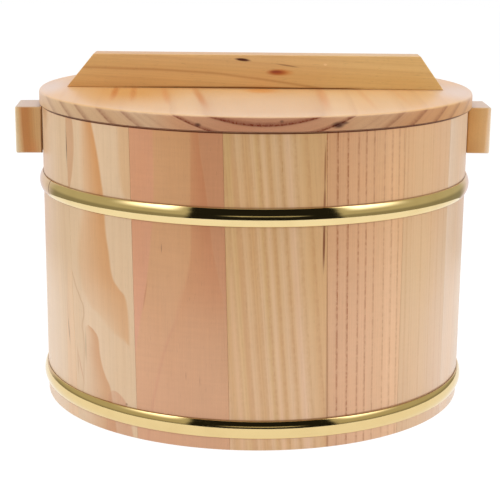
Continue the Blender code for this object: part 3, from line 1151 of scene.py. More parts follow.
# Tones of the fir
CREAM = tone(218, 187, 153)
STRAW = tone(213, 181, 145)
PINK = tone(205, 157, 116)
RUSSET = tone(188, 130, 92)
TAN = tone(195, 153, 108)
# How many colours a back stave has, how far apart they are in millimetres, and how they differ
BACK_STOPS = 8
BACK_PITCH = 16.0
SEED_TURN = 5.1
STOP_TURN = 2.3
GREEN_SWAY = 0.035
BLUE_SWAY = 0.08
# The brightest tint of the painted light along a board, which its ramp is scaled down to
PAINTED_LIGHT_TOP = 1.5
# Tints and lights
WARM_TINT: Colour = (1.03, 0.93, 0.80)
SCREEN_WARM: Colour = (1.04, 0.98, 0.70)
BACK_LIGHT: Colour = (0.85, 0.75, 0.80)
BOX_LIGHT: Colour = (2.9, 2.9, 2.9)


def shift(colour: Colour, red: float, green: float, blue: float) -> Colour:
    """A colour with each channel scaled."""
    return (colour[0] * red, colour[1] * green, colour[2] * blue)


def plain_stave(seed: float, early: Colour, cut: LogCut, faint: float = 0.3, ring: float = 3.2) -> Wood:
    """A stave of the back, whose look comes from its cut alone.

    Args:
        seed: The board's seed.
        early: The colour of its early wood.
        cut: How it was cut.
        faint: How strong its rings are.
        ring: How far apart they are.

    Returns:
        The wood.
    """
    stops = []
    for number in range(BACK_STOPS):
        sway = math.sin(seed * SEED_TURN + number * STOP_TURN)
        colour = shift(early, 1.0, 1.0 - GREEN_SWAY * sway, 1.0 - BLUE_SWAY * sway)
        stops.append(((number + 0.5) * BACK_PITCH, colour))
    return Wood(tuple(stops), cut, ring=ring, faint=faint, waver=2.0, seed=seed)


FLAMED_STAVE = Wood(
    tones=((-30.0, STRAW), (-14.0, STRAW), (-8.0, CREAM), (20.0, STRAW), (30.0, STRAW)),
    cut=PlainCut(-0.02), faint=0.06, ring=4.0, waver=0.9,
    flames=(
        Flame(
            left=((0, -40), (140, -40), (150, -34), (193, -34)),
            right=((0, -40), (140, -29), (150, -25), (165, -21.2), (178, -19.8), (193, -22)),
            colour=tone(200, 156, 118), left_soft=1.0, right_soft=0.7, start=0.9,
        ),
        Flame(
            left=(
                (0, 50), (55, 30), (60, 24), (65, 14), (73, 4), (80, -7), (91, -14), (108, -17), (123, -15),
                (143, -11), (167, -12), (193, -12),
            ),
            right=(
                (0, 28), (60, 27.6), (71, 27.4), (81, 26.6), (88, 25), (93, 20), (102, 14.2), (115, 12.2),
                (127, 10), (146, 8.8), (158, 6.9), (170, 4.6), (193, -1.6),
            ),
            colour=tone(202, 143, 86),
            strength=((0, 0.5), (75, 0.6), (100, 0.8), (125, 0.85), (150, 0.95), (200, 1.0)),
            left_soft=3.5, right_soft=1.1, start=0.35,
        ),
        Flame(
            left=((0, -14), (39, -10.5), (47, -12), (54, -11), (63, -10.6), (66, -8), (193, -8)),
            right=(
                (0, 17), (23, 13), (28, 12), (35, 8), (43, 4.6), (50, 3), (57, 2.2), (62, -1.4), (65, -8),
                (70, -20), (193, -20),
            ),
            colour=tone(200, 150, 106), left_soft=0.8, start=0.15,
        ),
        Flame(
            left=((0, 20), (140, 30), (150, 25), (165, 22), (193, 21)), right=upright(40),
            colour=tone(205, 162, 117), strength=((0, 0), (140, 0), (155, 0.9), (193, 0.9)),
            left_soft=2.2, start=0.8,
        ),
        Flame(
            left=((0, 8), (20, 10), (27, 13), (30, 30), (193, 30)),
            right=((0, 30), (20, 25), (25, 21), (27.5, 16), (30, 10), (193, 10)),
            colour=tone(196, 136, 100), strength=((0, 0.6), (200, 0.6)), left_soft=0.6, start=0.6,
        ),
        Flame(
            left=(
                (0, -20), (47, -13), (58, -13.6), (63, -14.4), (72, -12.6), (80, -16), (90, -22.6),
                (105, -27.6), (122, -28.6), (193, -36),
            ),
            right=(
                (0, -19), (47, -12), (58, -12.6), (63, -13.4), (72, -11.6), (80, -15), (90, -21.6),
                (105, -26.8), (122, -27.8), (193, -34),
            ),
            colour=tone(176, 128, 88), strength=((0, 0.0), (40, 0.4), (90, 0.65), (120, 0.5), (150, 0)),
            left_soft=1.0, right_soft=0.9, start=0.9,
        ),
    ),
    spots=(
        Spot(-19.6, 39, 0.7, 14, tone(172, 122, 86), 0.7, -0.05, 0.8),
        Spot(-23.6, 46, 0.7, 16, tone(180, 132, 98), 0.6, -0.08, 0.8),
        Spot(-16.5, 36, 0.8, 16, tone(190, 128, 98), 0.7, -0.35, 0.8),
        Spot(-10.6, 50, 0.9, 15, tone(150, 130, 96), 0.5, 0, 0.8),
        Spot(25, 20.6, 1.6, 1.3, tone(126, 74, 48), 0.8),
    ),
    seed=2.0,
)
CATHEDRAL_LEFT: Curve = (
    (0, -34), (59, -25.3), (69, -23.8), (88, -20), (107, -17), (129, -14.7), (144, -13.2), (193, -13.4),
)
CATHEDRAL_MIDDLE: Curve = (
    (0, -17), (26, -13), (36, -10.9), (49, -8.1), (59, -5.3), (69, -2), (78, 1.9), (91, 4.6), (107, 8.4),
    (119, 10.3), (152, 10.4), (193, 10.5),
)
CATHEDRAL_RIGHT: Curve = (
    (0, 40), (78, 31), (93, 30), (102, 28.2), (114, 25.8), (123, 24.1), (138, 22.3), (158, 20), (170, 18.2),
    (181, 16.5), (193, 15.3),
)
CATHEDRAL_STAVE = Wood(
    tones=graded((-30, 195, 146, 105), (30, 194, 146, 104)), faint=0.05, ring=4.5, waver=0.8, late=RUSSET,
    flames=(
        Flame(
            left=upright(-60), right=CATHEDRAL_LEFT, colour=tone(198, 142, 110),
            strength=((0, 0.8), (200, 0.95)), left_soft=1.0, start=0.6,
        ),
        Flame(
            left=CATHEDRAL_MIDDLE, right=CATHEDRAL_RIGHT, colour=tone(186, 124, 86),
            strength=((0, 0), (50, 0.05), (75, 0.25), (100, 0.65), (125, 0.85), (150, 1.0), (193, 0.85)),
            left_soft=0.9, right_soft=0.7, start=0.6,
        ),
        Flame(
            left=CATHEDRAL_RIGHT, right=upright(60), colour=tone(188, 132, 96),
            strength=((0, 0), (70, 0.3), (100, 0.8), (193, 0.95)), left_soft=0.7, start=1.0,
        ),
        Flame(
            left=(
                (0, -19), (26, -15), (36, -12.9), (49, -10.1), (59, -7.3), (69, -4), (78, 0), (91, 2.6),
                (107, 6.4), (119, 8.3), (193, 8.5),
            ),
            right=CATHEDRAL_MIDDLE, colour=tone(190, 134, 98),
            strength=((0, 0.5), (60, 0.5), (90, 0.35), (120, 0.0), (193, 0.0)), left_soft=0.9,
            right_soft=0.6, start=0.6,
        ),
    ),
    spots=(
        Spot(-8.1, 122, 0.5, 4, tone(130, 84, 56), 0.6, 0, 0.8),
        Spot(7.5, 45, 0.5, 3.6, tone(150, 100, 68), 0.4, 0, 0.8),
        Spot(16.2, 42.5, 0.5, 4.6, tone(150, 100, 68), 0.4, 0, 0.8),
        Spot(-19, 92, 0.8, 14, tone(176, 104, 70), 0.5, 0.18, 0.8),
    ),
    # Painted light: paler and bluer towards the foot, for the floor's bounce and sheen
    painted_light_along=(
        (0, (1.15, 1.14, 1.3)), (40, (1.15, 1.15, 1.28)), (100, (1.13, 1.13, 1.16)),
        (150, (1.08, 1.05, 0.98)), (192, (1.06, 1.03, 0.94)),
    ),
    ripple=0.08, seed=3.0,
)
TAN_STAVE = Wood(
    tones=graded(
        (-31, 203, 163, 116), (-27, 197, 155, 104), (-24, 204, 167, 124), (-20.5, 195, 152, 102),
        (-17, 203, 162, 118), (-13, 199, 161, 110), (-10.5, 193, 148, 100), (-7, 203, 165, 121),
        (-2, 195, 152, 102), (1.5, 204, 167, 124), (4, 197, 158, 106), (8, 205, 167, 125),
        (10.5, 195, 153, 102), (15, 204, 167, 125), (18, 198, 158, 110), (22, 206, 168, 130),
        (25.5, 202, 165, 120), (31, 198, 157, 108),
    ),
    cut=PlainCut(-0.08), late=tone(172, 118, 66),
    lines=(
        (-22, 0.32, 3), (-14.8, 0.3, 2.6), (-8.5, 0.32, 2.6), (-3.5, 0.34, 2.2), (0.2, 0.34, 2.2),
        (5.5, 0.5, 2.8), (11.6, 0.42, 2.8), (18.1, 0.46, 3), (26.5, 0.42, 3.4), (33.5, 0.42, 3.4),
        (41, 0.15, 2.6),
    ),
    ring=2.2, faint=0.22, waver=0.5,
    flames=(
        Flame(
            left=((0, 33.7), (110, 31.7), (193, 30.9)), right=upright(60), colour=tone(136, 78, 40),
            strength=((0, 0.7), (50, 0.7), (90, 0.75), (134, 0.85), (193, 0.7)), left_soft=0.4, start=1.0,
        ),
        Flame(
            left=((0, 25.5), (193, 24.4)), right=upright(50), colour=tone(197, 155, 108),
            strength=((0, 0.3), (150, 0.45), (193, 0.5)), left_soft=0.6, start=1.0,
        ),
        Flame(
            left=upright(-50), right=((0, -25.5), (193, -25)), colour=tone(190, 150, 96),
            strength=((0, 0.3), (193, 0.6)), start=1.0,
        ),
    ),
    spots=(
        Spot(29.7, 127, 1.1, 22, tone(116, 54, 18), 0.85, 0, 0.7, 6, 3.2),
        Spot(29.6, 152, 1, 12, tone(132, 70, 34), 0.75, 0, 0.7, 6, 3.2),
        Spot(29.5, 172, 0.9, 18, tone(144, 82, 42), 0.7, 0, 0.7, 6, 3.2),
    ),
    # Painted light: paler and bluer towards the foot, for the floor's bounce and sheen
    painted_light_along=(
        (0, (1.18, 1.2, 1.34)), (40, (1.17, 1.19, 1.32)), (100, (1.16, 1.17, 1.23)),
        (160, (1.12, 1.12, 1.13)), (192, (1.1, 1.11, 1.11)),
    ),
    broken=0.4, seed=4.0,
)
LINED_STAVE = Wood(
    tones=graded(
        (-30, 202, 155, 112), (-16, 206, 157, 117), (0, 209, 161, 121), (12, 210, 163, 121),
        (20, 216, 170, 128), (30, 210, 165, 122),
    ),
    cut=PlainCut(-0.02), late=tone(152, 86, 42),
    lines=(
        (-23.7, 0.85, 1.7), (-16.7, 0.85, 1.6), (-10, 0.9, 1.6), (-3, 0.72, 1.4), (2.3, 0.7, 1.4),
        (7.9, 0.55, 1.4), (15.3, 0.45, 1.5), (21, 0.5, 1.5), (26.3, 0.5, 1.3), (30.2, 0.35, 1.2),
    ),
    ring=1.7, faint=0.10, waver=0.35,
    # Painted light: paler and bluer towards the foot, for the floor's bounce and sheen
    painted_light_along=(
        (0, (1.09, 1.14, 1.24)), (40, (1.09, 1.14, 1.23)), (100, (1.09, 1.13, 1.2)), (160, (1.02, 1, 0.94)),
        (192, (1, 0.97, 0.9)),
    ),
    broken=0.55, ripple=0.06, seed=5.0,
)
PALE_STAVE = Wood(
    tones=graded(
        (-26, 211, 169, 126), (-14, 216, 175, 132), (0, 218, 178, 136), (14, 218, 179, 142),
        (26, 220, 183, 148),
    ),
    cut=PlainCut(-0.02), late=tone(192, 132, 84),
    lines=(
        (-18, 0.4, 1.4), (-14, 0.3, 1.2), (-4, 0.35, 1.4), (6.5, 0.35, 1.4), (14.4, 0.3, 1.4),
        (22, 0.35, 1.4),
    ),
    ring=2.2, faint=0.16, waver=0.4,
    # Painted light: bluer towards the foot and darker at the top
    painted_light_along=(
        (0, (0.97, 1.02, 1.12)), (40, (0.97, 1.02, 1.11)), (100, (0.98, 1.04, 1.09)),
        (170, (0.97, 0.93, 0.89)), (192, (0.96, 0.92, 0.88)),
    ),
    broken=0.4, seed=6.0,
)
LEFT_STAVE = Wood(
    tones=graded(
        (-30, 218, 187, 153), (-10, 219, 187, 153), (4, 219, 189, 157), (18, 218, 187, 153),
        (28, 213, 181, 145),
    ),
    cut=PlainCut(-0.05), ring=5.0, faint=0.10, waver=1.6,
    flames=(
        Flame(
            left=((0, 24), (30, 23.5), (60, 22.5), (90, 25), (193, 25)), right=upright(40),
            colour=tone(221, 182, 142), strength=((0, 0.75), (60, 0.7), (90, 0.5), (110, 0), (193, 0)),
            left_soft=1.2, start=1.0,
        ),
    ),
    spots=(
        Spot(25.6, 56, 1, 14, tone(84, 50, 42), 0.85, -0.15, 0.7),
        Spot(24, 70, 0.7, 13, tone(166, 124, 104), 0.5, -0.1, 0.8),
        Spot(28, 182, 0.8, 26, tone(44, 38, 40), 0.95, 0, 0.8, 15),
        # Painted shade and the handle's warm reflection at the top left, under the lid's overhang
        Spot(-15, 196, 14, 22, tone(200, 156, 112), 0.8, 0, 0.9),
    ),
    seed=1.0,
)

# Each block's face tone paints the paler, greyer sheen on its top face
BLOCK_WOODS = {
    "left": Wood(
        tones=graded(
            (0, 208, 166, 112), (3, 206, 162, 106), (5.5, 199, 144, 83), (8, 191, 127, 67),
            (11.2, 191, 129, 71), (13, 210, 166, 114), (14.4, 220, 187, 141), (16.3, 230, 208, 174),
        ),
        cut=PlainCut(0.0, 0.05), late=tone(166, 104, 56), ring=1.9, faint=0.16, waver=0.5,
        spots=(Spot(4, -17, 6, 60, tone(204, 116, 60), 0.6, 0, 0.9, 16, -15),),
        # A line of painted shade along the block's back, where it meets the wall
        end_shade=0.98, painted_sheen_tone=tone(206, 188, 168), painted_shade_lines=(PaintedShadeLine(Way.ACROSS, -0.6, 0.6, 0.8),),
        seed=31.0,
    ),
    "right": Wood(
        tones=graded(
            (0, 211, 155, 88), (5, 213, 162, 97), (9, 217, 170, 111), (10.8, 225, 180, 123),
            (12.6, 237, 206, 170), (14.1, 243, 221, 193),
        ),
        cut=PlainCut(0.0, 0.04), late=tone(186, 126, 66), ring=2.3, faint=0.18, waver=0.5,
        spots=(Spot(3, -17, 12, 60, tone(190, 130, 66), 0.6, 0, 0.9, 14, -14),),
        end_shade=0.98, painted_sheen_tone=tone(208, 190, 170), seed=32.0,
    ),
}

# Each stave's width along the outside at the rim and at the foot, from the left handle's round the front
STAVES = (
    StavePlan(0.0538, 0.0534, plain_stave(0.3, tone(224, 186, 150), LogCut(4.0, 46.0, 0.02, 0.03))),
    StavePlan(0.0560, 0.0636, LEFT_STAVE),
    StavePlan(0.0589, 0.0546, FLAMED_STAVE),
    StavePlan(0.0594, 0.0602, CATHEDRAL_STAVE),
    StavePlan(0.0606, 0.0602, TAN_STAVE),
    StavePlan(0.0552, 0.0507, LINED_STAVE),
    StavePlan(0.0486, 0.0481, PALE_STAVE),
    StavePlan(0.0474, 0.0461, plain_stave(7.2, tone(224, 194, 166), LogCut(60.0, 20.0, 0.02), 0.22, 2.4)),
    StavePlan(0.0538, 0.0534, plain_stave(8.1, STRAW, LogCut(-6.0, 58.0, -0.02, 0.08))),
    StavePlan(0.0574, 0.0570, plain_stave(9.4, PINK, LogCut(8.0, 34.0, 0.03, -0.10))),
    StavePlan(0.0513, 0.0522, plain_stave(10.7, TAN, LogCut(70.0, 12.0, -0.03), 0.35, 3.0)),
    StavePlan(0.0599, 0.0582, plain_stave(11.5, CREAM, LogCut(-10.0, 26.0, 0.04, 0.06))),
    StavePlan(0.0538, 0.0546, plain_stave(12.9, RUSSET, LogCut(2.0, 40.0, -0.02, -0.12))),
    StavePlan(0.0562, 0.0546, plain_stave(13.3, STRAW, LogCut(-64.0, 18.0, 0.02), 0.35, 2.8)),
    StavePlan(0.0525, 0.0534, plain_stave(14.8, TAN, LogCut(12.0, 30.0, 0.05, 0.05))),
    StavePlan(0.0550, 0.0534, plain_stave(15.6, CREAM, LogCut(-4.0, 52.0, 0.0, -0.06))),
)

LID_WOOD = Wood(
    tones=graded(
        (99, 228, 190, 148), (105.5, 226, 186, 142), (109, 232, 194, 149), (117, 229, 187, 138),
        (127, 231, 190, 142), (137, 226, 180, 127), (152, 227, 184, 132), (165, 229, 188, 140),
    ),
    cut=LogCut(1.5, -98.0, -0.026, 0.019), late=tone(134, 46, 12),
    lines=(
        (106.1, 1, 2.8), (114, 0.95, 2.2), (123.1, 0.16, 1.6), (131, 0.52, 3), (140.8, 0.62, 3.2),
        (151.2, 0.56, 3), (159, 0.5, 3), (167, 0.36, 3),
    ),
    ring=2.9, faint=0.10, waver=0.7, face_late=0.14,
    side_tints=(
        (-142, (0.86, 0.9, 0.98)), (-110, (0.76, 0.78, 0.9)), (-62, (0.73, 0.7, 0.76)),
        (-46, (0.72, 0.57, 0.56)), (-10, (0.66, 0.44, 0.39)), (34, (0.69, 0.5, 0.46)),
        (60, (0.71, 0.62, 0.6)), (80, (0.67, 0.56, 0.52)), (110, (0.71, 0.56, 0.5)),
        (142, (0.88, 0.78, 0.72)),
    ),
    spots=(
        # Painted reflection: the bar's warm reflection in the top, strongest next to the bar
        Spot(0, 0, 160, 66, tone(224, 170, 98), 0.7, 0, 1, 5),
        Spot(-78, -42, 46, 70, tone(216, 154, 76), 0.8, 0, 1, 5),
        Spot(4, -20, 15, 20, tone(226, 150, 72), 0.75, 0, 0.8, 4),
        Spot(-89.5, -36, 3.4, 52, tone(200, 118, 52), 0.8, -0.04, 0.9, 4),
        Spot(-77.5, -38, 3.4, 54, tone(206, 130, 66), 0.7, -0.05, 0.9, 4),
        Spot(-56.5, -46, 3.6, 64, tone(214, 142, 82), 0.7, -0.09, 0.9, 4),
        Spot(-34.6, -56, 4, 72, tone(206, 132, 74), 0.75, -0.107, 0.9, 4),
        # Painted sheen: the pale, pinkish grey of the top's ends, where they reflect the backdrop
        Spot(-134, -10, 16, 60, tone(226, 206, 190), 0.8, 0, 0.9, 3),
        Spot(132, -20, 24, 60, tone(226, 204, 186), 0.8, 0, 0.9, 3),
        Spot(42.4, -50, 5, 90, tone(216, 144, 94), 0.55, 0, 0.9, 4),
        Spot(69, -50, 3.2, 80, tone(218, 156, 98), 0.45, -0.05, 0.9, 4),
        Spot(92, -46, 3.6, 60, tone(220, 160, 100), 0.4, -0.05, 0.9, 4),
        Spot(47.5, -134, 5.2, 9, tone(70, 26, 14), 0.95, 0, 0.8, 2.6, 5.6),
        Spot(51, -133, 4, 9, tone(80, 34, 20), 0.8, 0, 0.8, 1.4, 4.4),
        Spot(15, -141, 1.6, 3, tone(96, 52, 34), 0.7, 0, 0.7, 1.2, 2.8),
        Spot(-33, -137, 2.6, 4.5, tone(72, 30, 20), 0.85, 0, 0.8, 1.8, 5.6),
    ),
    # A line of painted shade along the rim's lower edge, where the lid rests on the barrel
    painted_shade_lines=(PaintedShadeLine(Way.DEPTH, 9.6, 1.0, 1.0),), end_shade=0.98, seed=21.0,
)
BAR_WOOD = Wood(
    tones=graded(
        (-16, 208, 159, 98), (-8, 216, 170, 108), (0, 211, 164, 101), (8, 218, 173, 112),
        (16, 213, 166, 105),
    ),
    cut=PlainCut(-0.055, 0.4), late=tone(176, 118, 62),
    lines=((-9.0, 0.22, 2.4), (6.0, 0.24, 2.6), (11.0, 0.2, 2.0)), ring=1.8, faint=0.14, waver=1.1,
    flames=(
        Flame(
            left=((-110, 1.2), (-35, -1.5), (-6, -4.4), (30, -9.2), (60, -14)),
            right=((-110, 2.6), (-35, -0.1), (-6, -3.0), (30, -7.8), (60, -12.6)),
            colour=tone(172, 112, 54), strength=((-120, 0.55), (0, 0.5), (60, 0.7)), left_soft=0.8,
            start=1.0,
        ),
        # Painted shadow: the dark strip along the bar's foot, where it stands on the lid
        Flame(
            left=((-125, -12), (125, -12)), right=((-125, -10.2), (125, -10.0)), colour=tone(120, 66, 18),
            strength=((-95, 0.0), (-64, 0.6), (0, 1.0), (50, 1.0), (75, 0.2), (115, 0.0)), left_soft=0.4,
            right_soft=0.5, start=1.0,
        ),
    ),
    spots=(
        Spot(-0.2, 16.4, 3, 11, tone(202, 122, 42), 0.8, 0, 0.8),
        Spot(-0.2, 14.2, 2.5, 8.6, tone(166, 76, 18), 0.95, 0, 0.75),
        Spot(0.2, 13.6, 1.1, 5.2, tone(136, 50, 8), 0.85, 0, 0.8),
        Spot(7.6, -8.4, 1.3, 6.4, tone(78, 30, 6), 1, -0.10, 0.6),
        Spot(4.4, 20.6, 0.7, 10, tone(124, 76, 34), 0.7, -0.14, 0.8),
        Spot(5.2, 45.6, 1, 1.6, tone(236, 196, 140), 0.8, 0, 0.6),
    ),
    # Painted light along the bar: paler and cooler towards its right end
    painted_light_along=(
        (-120, (1, 1, 1)), (10, (1, 1, 0.98)), (70, (1.04, 1.13, 1.14)), (120, (1.04, 1.14, 1.14)),
    ),
    fleck=0.2, seed=22.0,
)


@dataclass
class Barrel:
    """The staved barrel and its hoops, side handles and grate pegs."""

    height: float = 0.1927
    rim_radius: float = 0.1400
    foot_radius: float = 0.1391
    wall: float = 0.0150
    end_ease: float = 0.0005
    arris: float = 0.00014
    joint_gap: float = 0.00006
    stave_steps: int = 14
    hoop_width: float = 0.0110
    hoop_crown: float = 0.0017
    hoop_edge: float = 0.0008
    hoop_ease: float = 0.0008
    hoop_steps: int = 320
    hoop_arc_steps: int = 24
    hoops: tuple[Hoop, ...] = (
        Hoop("lower", 0.0132, 152.0, 0.0045, SHADED_LOWER_BRASS),
        Hoop("upper", 0.1430, -66.4, 0.0, UPPER_BRASS),
    )
    seam: float = 0.00008
    block_length: float = 0.0340
    block_height: float = 0.0304
    block_ease: float = 0.0010
    block_back_ease: float = 0.0003
    block_outer_ease: float = 0.0012
    block_steps: int = 12
    blocks: tuple[Block, ...] = (
        Block("left", 0, math.radians(3.0), 0.0162, 0.0015),
        Block("right", 8, math.radians(0.5), 0.0140, 0.0006),
    )
    screw_spacing: float = 0.0150
    screw_sink: float = 0.0004
    peg_radius: float = 0.0045
    peg_height: float = 0.0240
    peg_seat: float = 0.0090
    peg_reach: float = 0.0190
    peg_ease: float = 0.0010
    peg_steps: int = 32
    peg_seed: float = 40.0
    play: float = 0.0003
    screw: WoodScrew = WoodScrew(0.0260)

    def outer_radius(self, height: float) -> float:
        """The barrel's outer radius at a height."""
        return self.foot_radius + (self.rim_radius - self.foot_radius) * height / self.height

    def inner_radius(self, height: float) -> float:
        """The barrel's inner radius at a height."""
        return self.outer_radius(height) - self.wall

    def joint_angles(self, widths: list[float]) -> list[float]:
        """The angle of each joint, with the first stave centred on -X.

        Args:
            widths: The width of each stave, which stand for shares of the whole turn.

        Returns:
            The angles, one more than there are staves.
        """
        turn = FULL_TURN / sum(widths)
        angles = [-math.pi / 2 - widths[0] * turn / 2]
        for width in widths:
            angles.append(angles[-1] + width * turn)
        return angles

    def stave_middles(self) -> list[float]:
        """The angle of each stave's middle at the rim."""
        angles = self.joint_angles([plan.rim for plan in STAVES])
        return [(first + last) / 2 for first, last in zip(angles, angles[1:])]

    def _corner(self, joint: Joint, height: float, radius: float, side: int) -> Vector:
        """A point on the flat side of a stave.

        Args:
            joint: The joint's angle at the rim and at the foot.
            height: The point's height.
            radius: Its distance from the barrel's axis.
            side: 1 for the stave after the joint, -1 for the one before it.

        Returns:
            The point.
        """
        rim, foot = joint
        middle = (rim + foot) / 2
        outward = polar(middle, 1.0)
        top = polar(rim, self.rim_radius, self.height)
        line = polar(foot, self.foot_radius).lerp(top, height / self.height)
        level = Vector((line.x, line.y, 0.0))
        along = level.dot(outward)
        back = along - math.sqrt(along**2 - level.length_squared + radius**2)
        return line - outward * back + tangent(middle) * (side * self.joint_gap / 2)

    def _wall_points(
        self, left: Joint, right: Joint, height: float, radius: float, into: float
    ) -> list[Vector]:
        """Points along one face of a stave's wall, with eased corners.

        Args:
            left: The joint on the left, as its angle at the rim and at the foot.
            right: The joint on the right.
            height: The height.
            radius: The face's radius.
            into: How far the corners are eased towards the middle of the wall, below zero for inwards.

        Returns:
            The points from left to right.
        """
        first = self._corner(left, height, radius, 1)
        last = self._corner(right, height, radius, -1)
        start = math.atan2(first.x, -first.y) + abs(into) / radius
        end = math.atan2(last.x, -last.y) - abs(into) / radius
        sweep = (end - start) % FULL_TURN
        steps = self.stave_steps
        face = [polar(start + sweep * step / steps, radius, height) for step in range(steps + 1)]
        return [
            self._corner(left, height, radius + into, 1),
            *face,
            self._corner(right, height, radius + into, -1),
        ]

    def _stave_outline(self, left: Joint, right: Joint, height: float, inset: float) -> list[Vector]:
        """A stave's outline at a height: along the outside and back along the inside.

        Args:
            left: The joint on the left, as its angle at the rim and at the foot.
            right: The joint on the right.
            height: The height.
            inset: How far the faces are drawn in.

        Returns:
            The points of the outline.
        """
        outer = self.outer_radius(height) - inset
        inner = self.inner_radius(height) + inset
        outside = self._wall_points(left, right, height, outer, -self.arris)
        inside = self._wall_points(left, right, height, inner, self.arris)
        return outside + inside[::-1]

    def build_staves(self) -> list[Object]:
        """Makes the staves.

        Returns:
            The staves, not yet dressed.
        """
        rims = self.joint_angles([plan.rim for plan in STAVES])
        joints = list(zip(rims, self.joint_angles([plan.foot for plan in STAVES])))
        rounding = quarter_round(self.end_ease, EDGE_STEPS)
        levels = rounding + [(inset, self.height - away) for inset, away in reversed(rounding)]
        staves = []
        for number, (left, right) in enumerate(zip(joints, joints[1:]), start=1):
            shape = Shape()
            outlines = [self._stave_outline(left, right, height, inset) for inset, height in levels]
            loops = [shape.loop(outline) for outline in outlines]
            for first, second in zip(loops, loops[1:]):
                shape.bridge(first, second)
            half = len(loops[0]) // 2
            for loop in (loops[0], loops[-1]):
                shape.bridge(loop[:half], loop[half:][::-1], closed=False)
            staves.append(shape.object(f"fir_stave_{number:02d}"))
        return staves

    def painted_shade_lines(self) -> tuple[PaintedShadeLine, ...]:
        """Lays out the lines of painted shade on the staves.

        Returns:
            Lines of painted shade where the hoops bear and where the lid rests.
        """
        lines = [PaintedShadeLine(Way.ALONG, self.height * MILLIMETRES, 1.0, 1.0)]
        for hoop in self.hoops:
            for way, share in ((-1, 0.2), (1, 0.6)):
                edge = (hoop.height + way * self.hoop_width / 2) * MILLIMETRES
                lines.append(PaintedShadeLine(Way.ALONG, edge, 0.8, share, HOOP_SHADE_AND_SEAM))
        return tuple(lines)

    def dress_staves(self, staves: list[Object]) -> None:
        """Gives each stave its own board of fir.

        Args:
            staves: The staves, with their holes cut.
        """
        for number, (stave, plan, middle) in enumerate(zip(staves, STAVES, self.stave_middles()), start=1):
            board = Board(polar(middle, self.rim_radius), tangent(middle), polar(middle, -1.0), UP)
            wood = replace(plan.wood, painted_shade_lines=self.painted_shade_lines())
            material = wood.material(f"fir_board_{number:02d}", board)
            show(stave, material, Body.BARREL, Slot.STAVES, f"stave_{number:02d}")

    def _hoop_profile(self, height: float) -> list[tuple[float, float]]:
        """A hoop's profile, from its top edge over its crown to its lower edge.

        Args:
            height: The height of the hoop's middle.

        Returns:
            Points as radius and height.
        """
        half, ease = self.hoop_width / 2, self.hoop_ease
        sweep = 2 * math.atan(self.hoop_crown / half)
        arc_half = half - ease * (1 - math.sin(sweep))
        crown_radius = arc_half / math.sin(sweep)
        foot = self.hoop_edge - ease * (1 - math.cos(sweep)) - crown_radius * math.cos(sweep)
        points = [(0.0, half)]
        for step in range(CORNER_STEPS):
            turn = math.pi / 2 + (sweep - math.pi / 2) * step / CORNER_STEPS
            points.append((self.hoop_edge - ease * (1 - math.cos(turn)), half - ease * (1 - math.sin(turn))))
        for step in range(self.hoop_arc_steps + 1):
            turn = sweep * (1 - 2 * step / self.hoop_arc_steps)
            points.append((foot + crown_radius * math.cos(turn), crown_radius * math.sin(turn)))
        points += [(out, -up) for out, up in reversed(points[: CORNER_STEPS + 1])]
        return [(self.outer_radius(height + up) + self.play + out, height + up) for out, up in points]

    def build_hoops(self) -> None:
        """Makes the half-round hoops, each bent from a strip whose ends meet at a seam."""
        for hoop in self.hoops:
            seam_angle = math.radians(hoop.seam_angle)
            seam_place = polar(seam_angle, self.rim_radius, hoop.height)
            seam = Board(seam_place, tangent(seam_angle), polar(seam_angle, 1.0), UP)
            brass = hoop.brass.material(f"polished_brass_{hoop.name}", seam)
            profile = self._hoop_profile(hoop.height)
            start = seam_angle + self.seam / 2 / self.rim_radius
            whole = FULL_TURN - self.seam / self.rim_radius
            sections = []
            for step in range(self.hoop_steps + 1):
                angle = start + whole * step / self.hoop_steps
                sway = hoop.tilt * math.sin(angle) * self.rim_radius
                sections.append([polar(angle, radius, level - sway) for radius, level in profile])
            piece = Shape().swept(sections).object(f"brass_hoop_{hoop.name}")
            show(piece, brass, Body.BARREL, Slot.HOOPS, f"hoop_{hoop.name}")

    def _seated(self, point: Vector, depth: float) -> Vector:
        """A point of a block, moved so that the block's back follows the wall.

        Args:
            point: The point in the block's own frame.
            depth: How deep the block is.

        Returns:
            The moved point.
        """
        hollow = self.rim_radius - math.sqrt(self.rim_radius**2 - point.y**2)
        share = max(0.0, 1 - point.x / depth) ** 2
        return Vector((point.x - hollow * share, point.y, point.z))

    def _block_shape(self, plan: Block, place: Matrix) -> Shape:
        """Shapes a side handle block.

        Args:
            plan: Which block it is.
            place: Where the middle of its back is.

        Returns:
            The shape.
        """
        low, high = -self.block_height / 2, self.block_height / 2
        outline = [
            (Vector((0.0, 0.0, low)), self.block_back_ease),
            (Vector((plan.depth, 0.0, low)), self.block_ease),
            (Vector((plan.depth, 0.0, high)), self.block_outer_ease),
            (Vector((0.0, 0.0, high)), self.block_back_ease),
        ]
        half = self.block_length / 2
        straight = half - self.block_ease
        rounding = quarter_round(self.block_ease, CORNER_STEPS)
        turns = range(1, self.block_steps)
        ends = [(inset, away - half) for inset, away in rounding]
        ends += [(0.0, straight * (step / (self.block_steps / 2) - 1)) for step in turns]
        ends += [(inset, half - away) for inset, away in reversed(rounding)]
        shape = rounded_bar(outline, ends)
        shape.points = [place @ self._seated(point, plan.depth) for point in shape.points]
        return shape

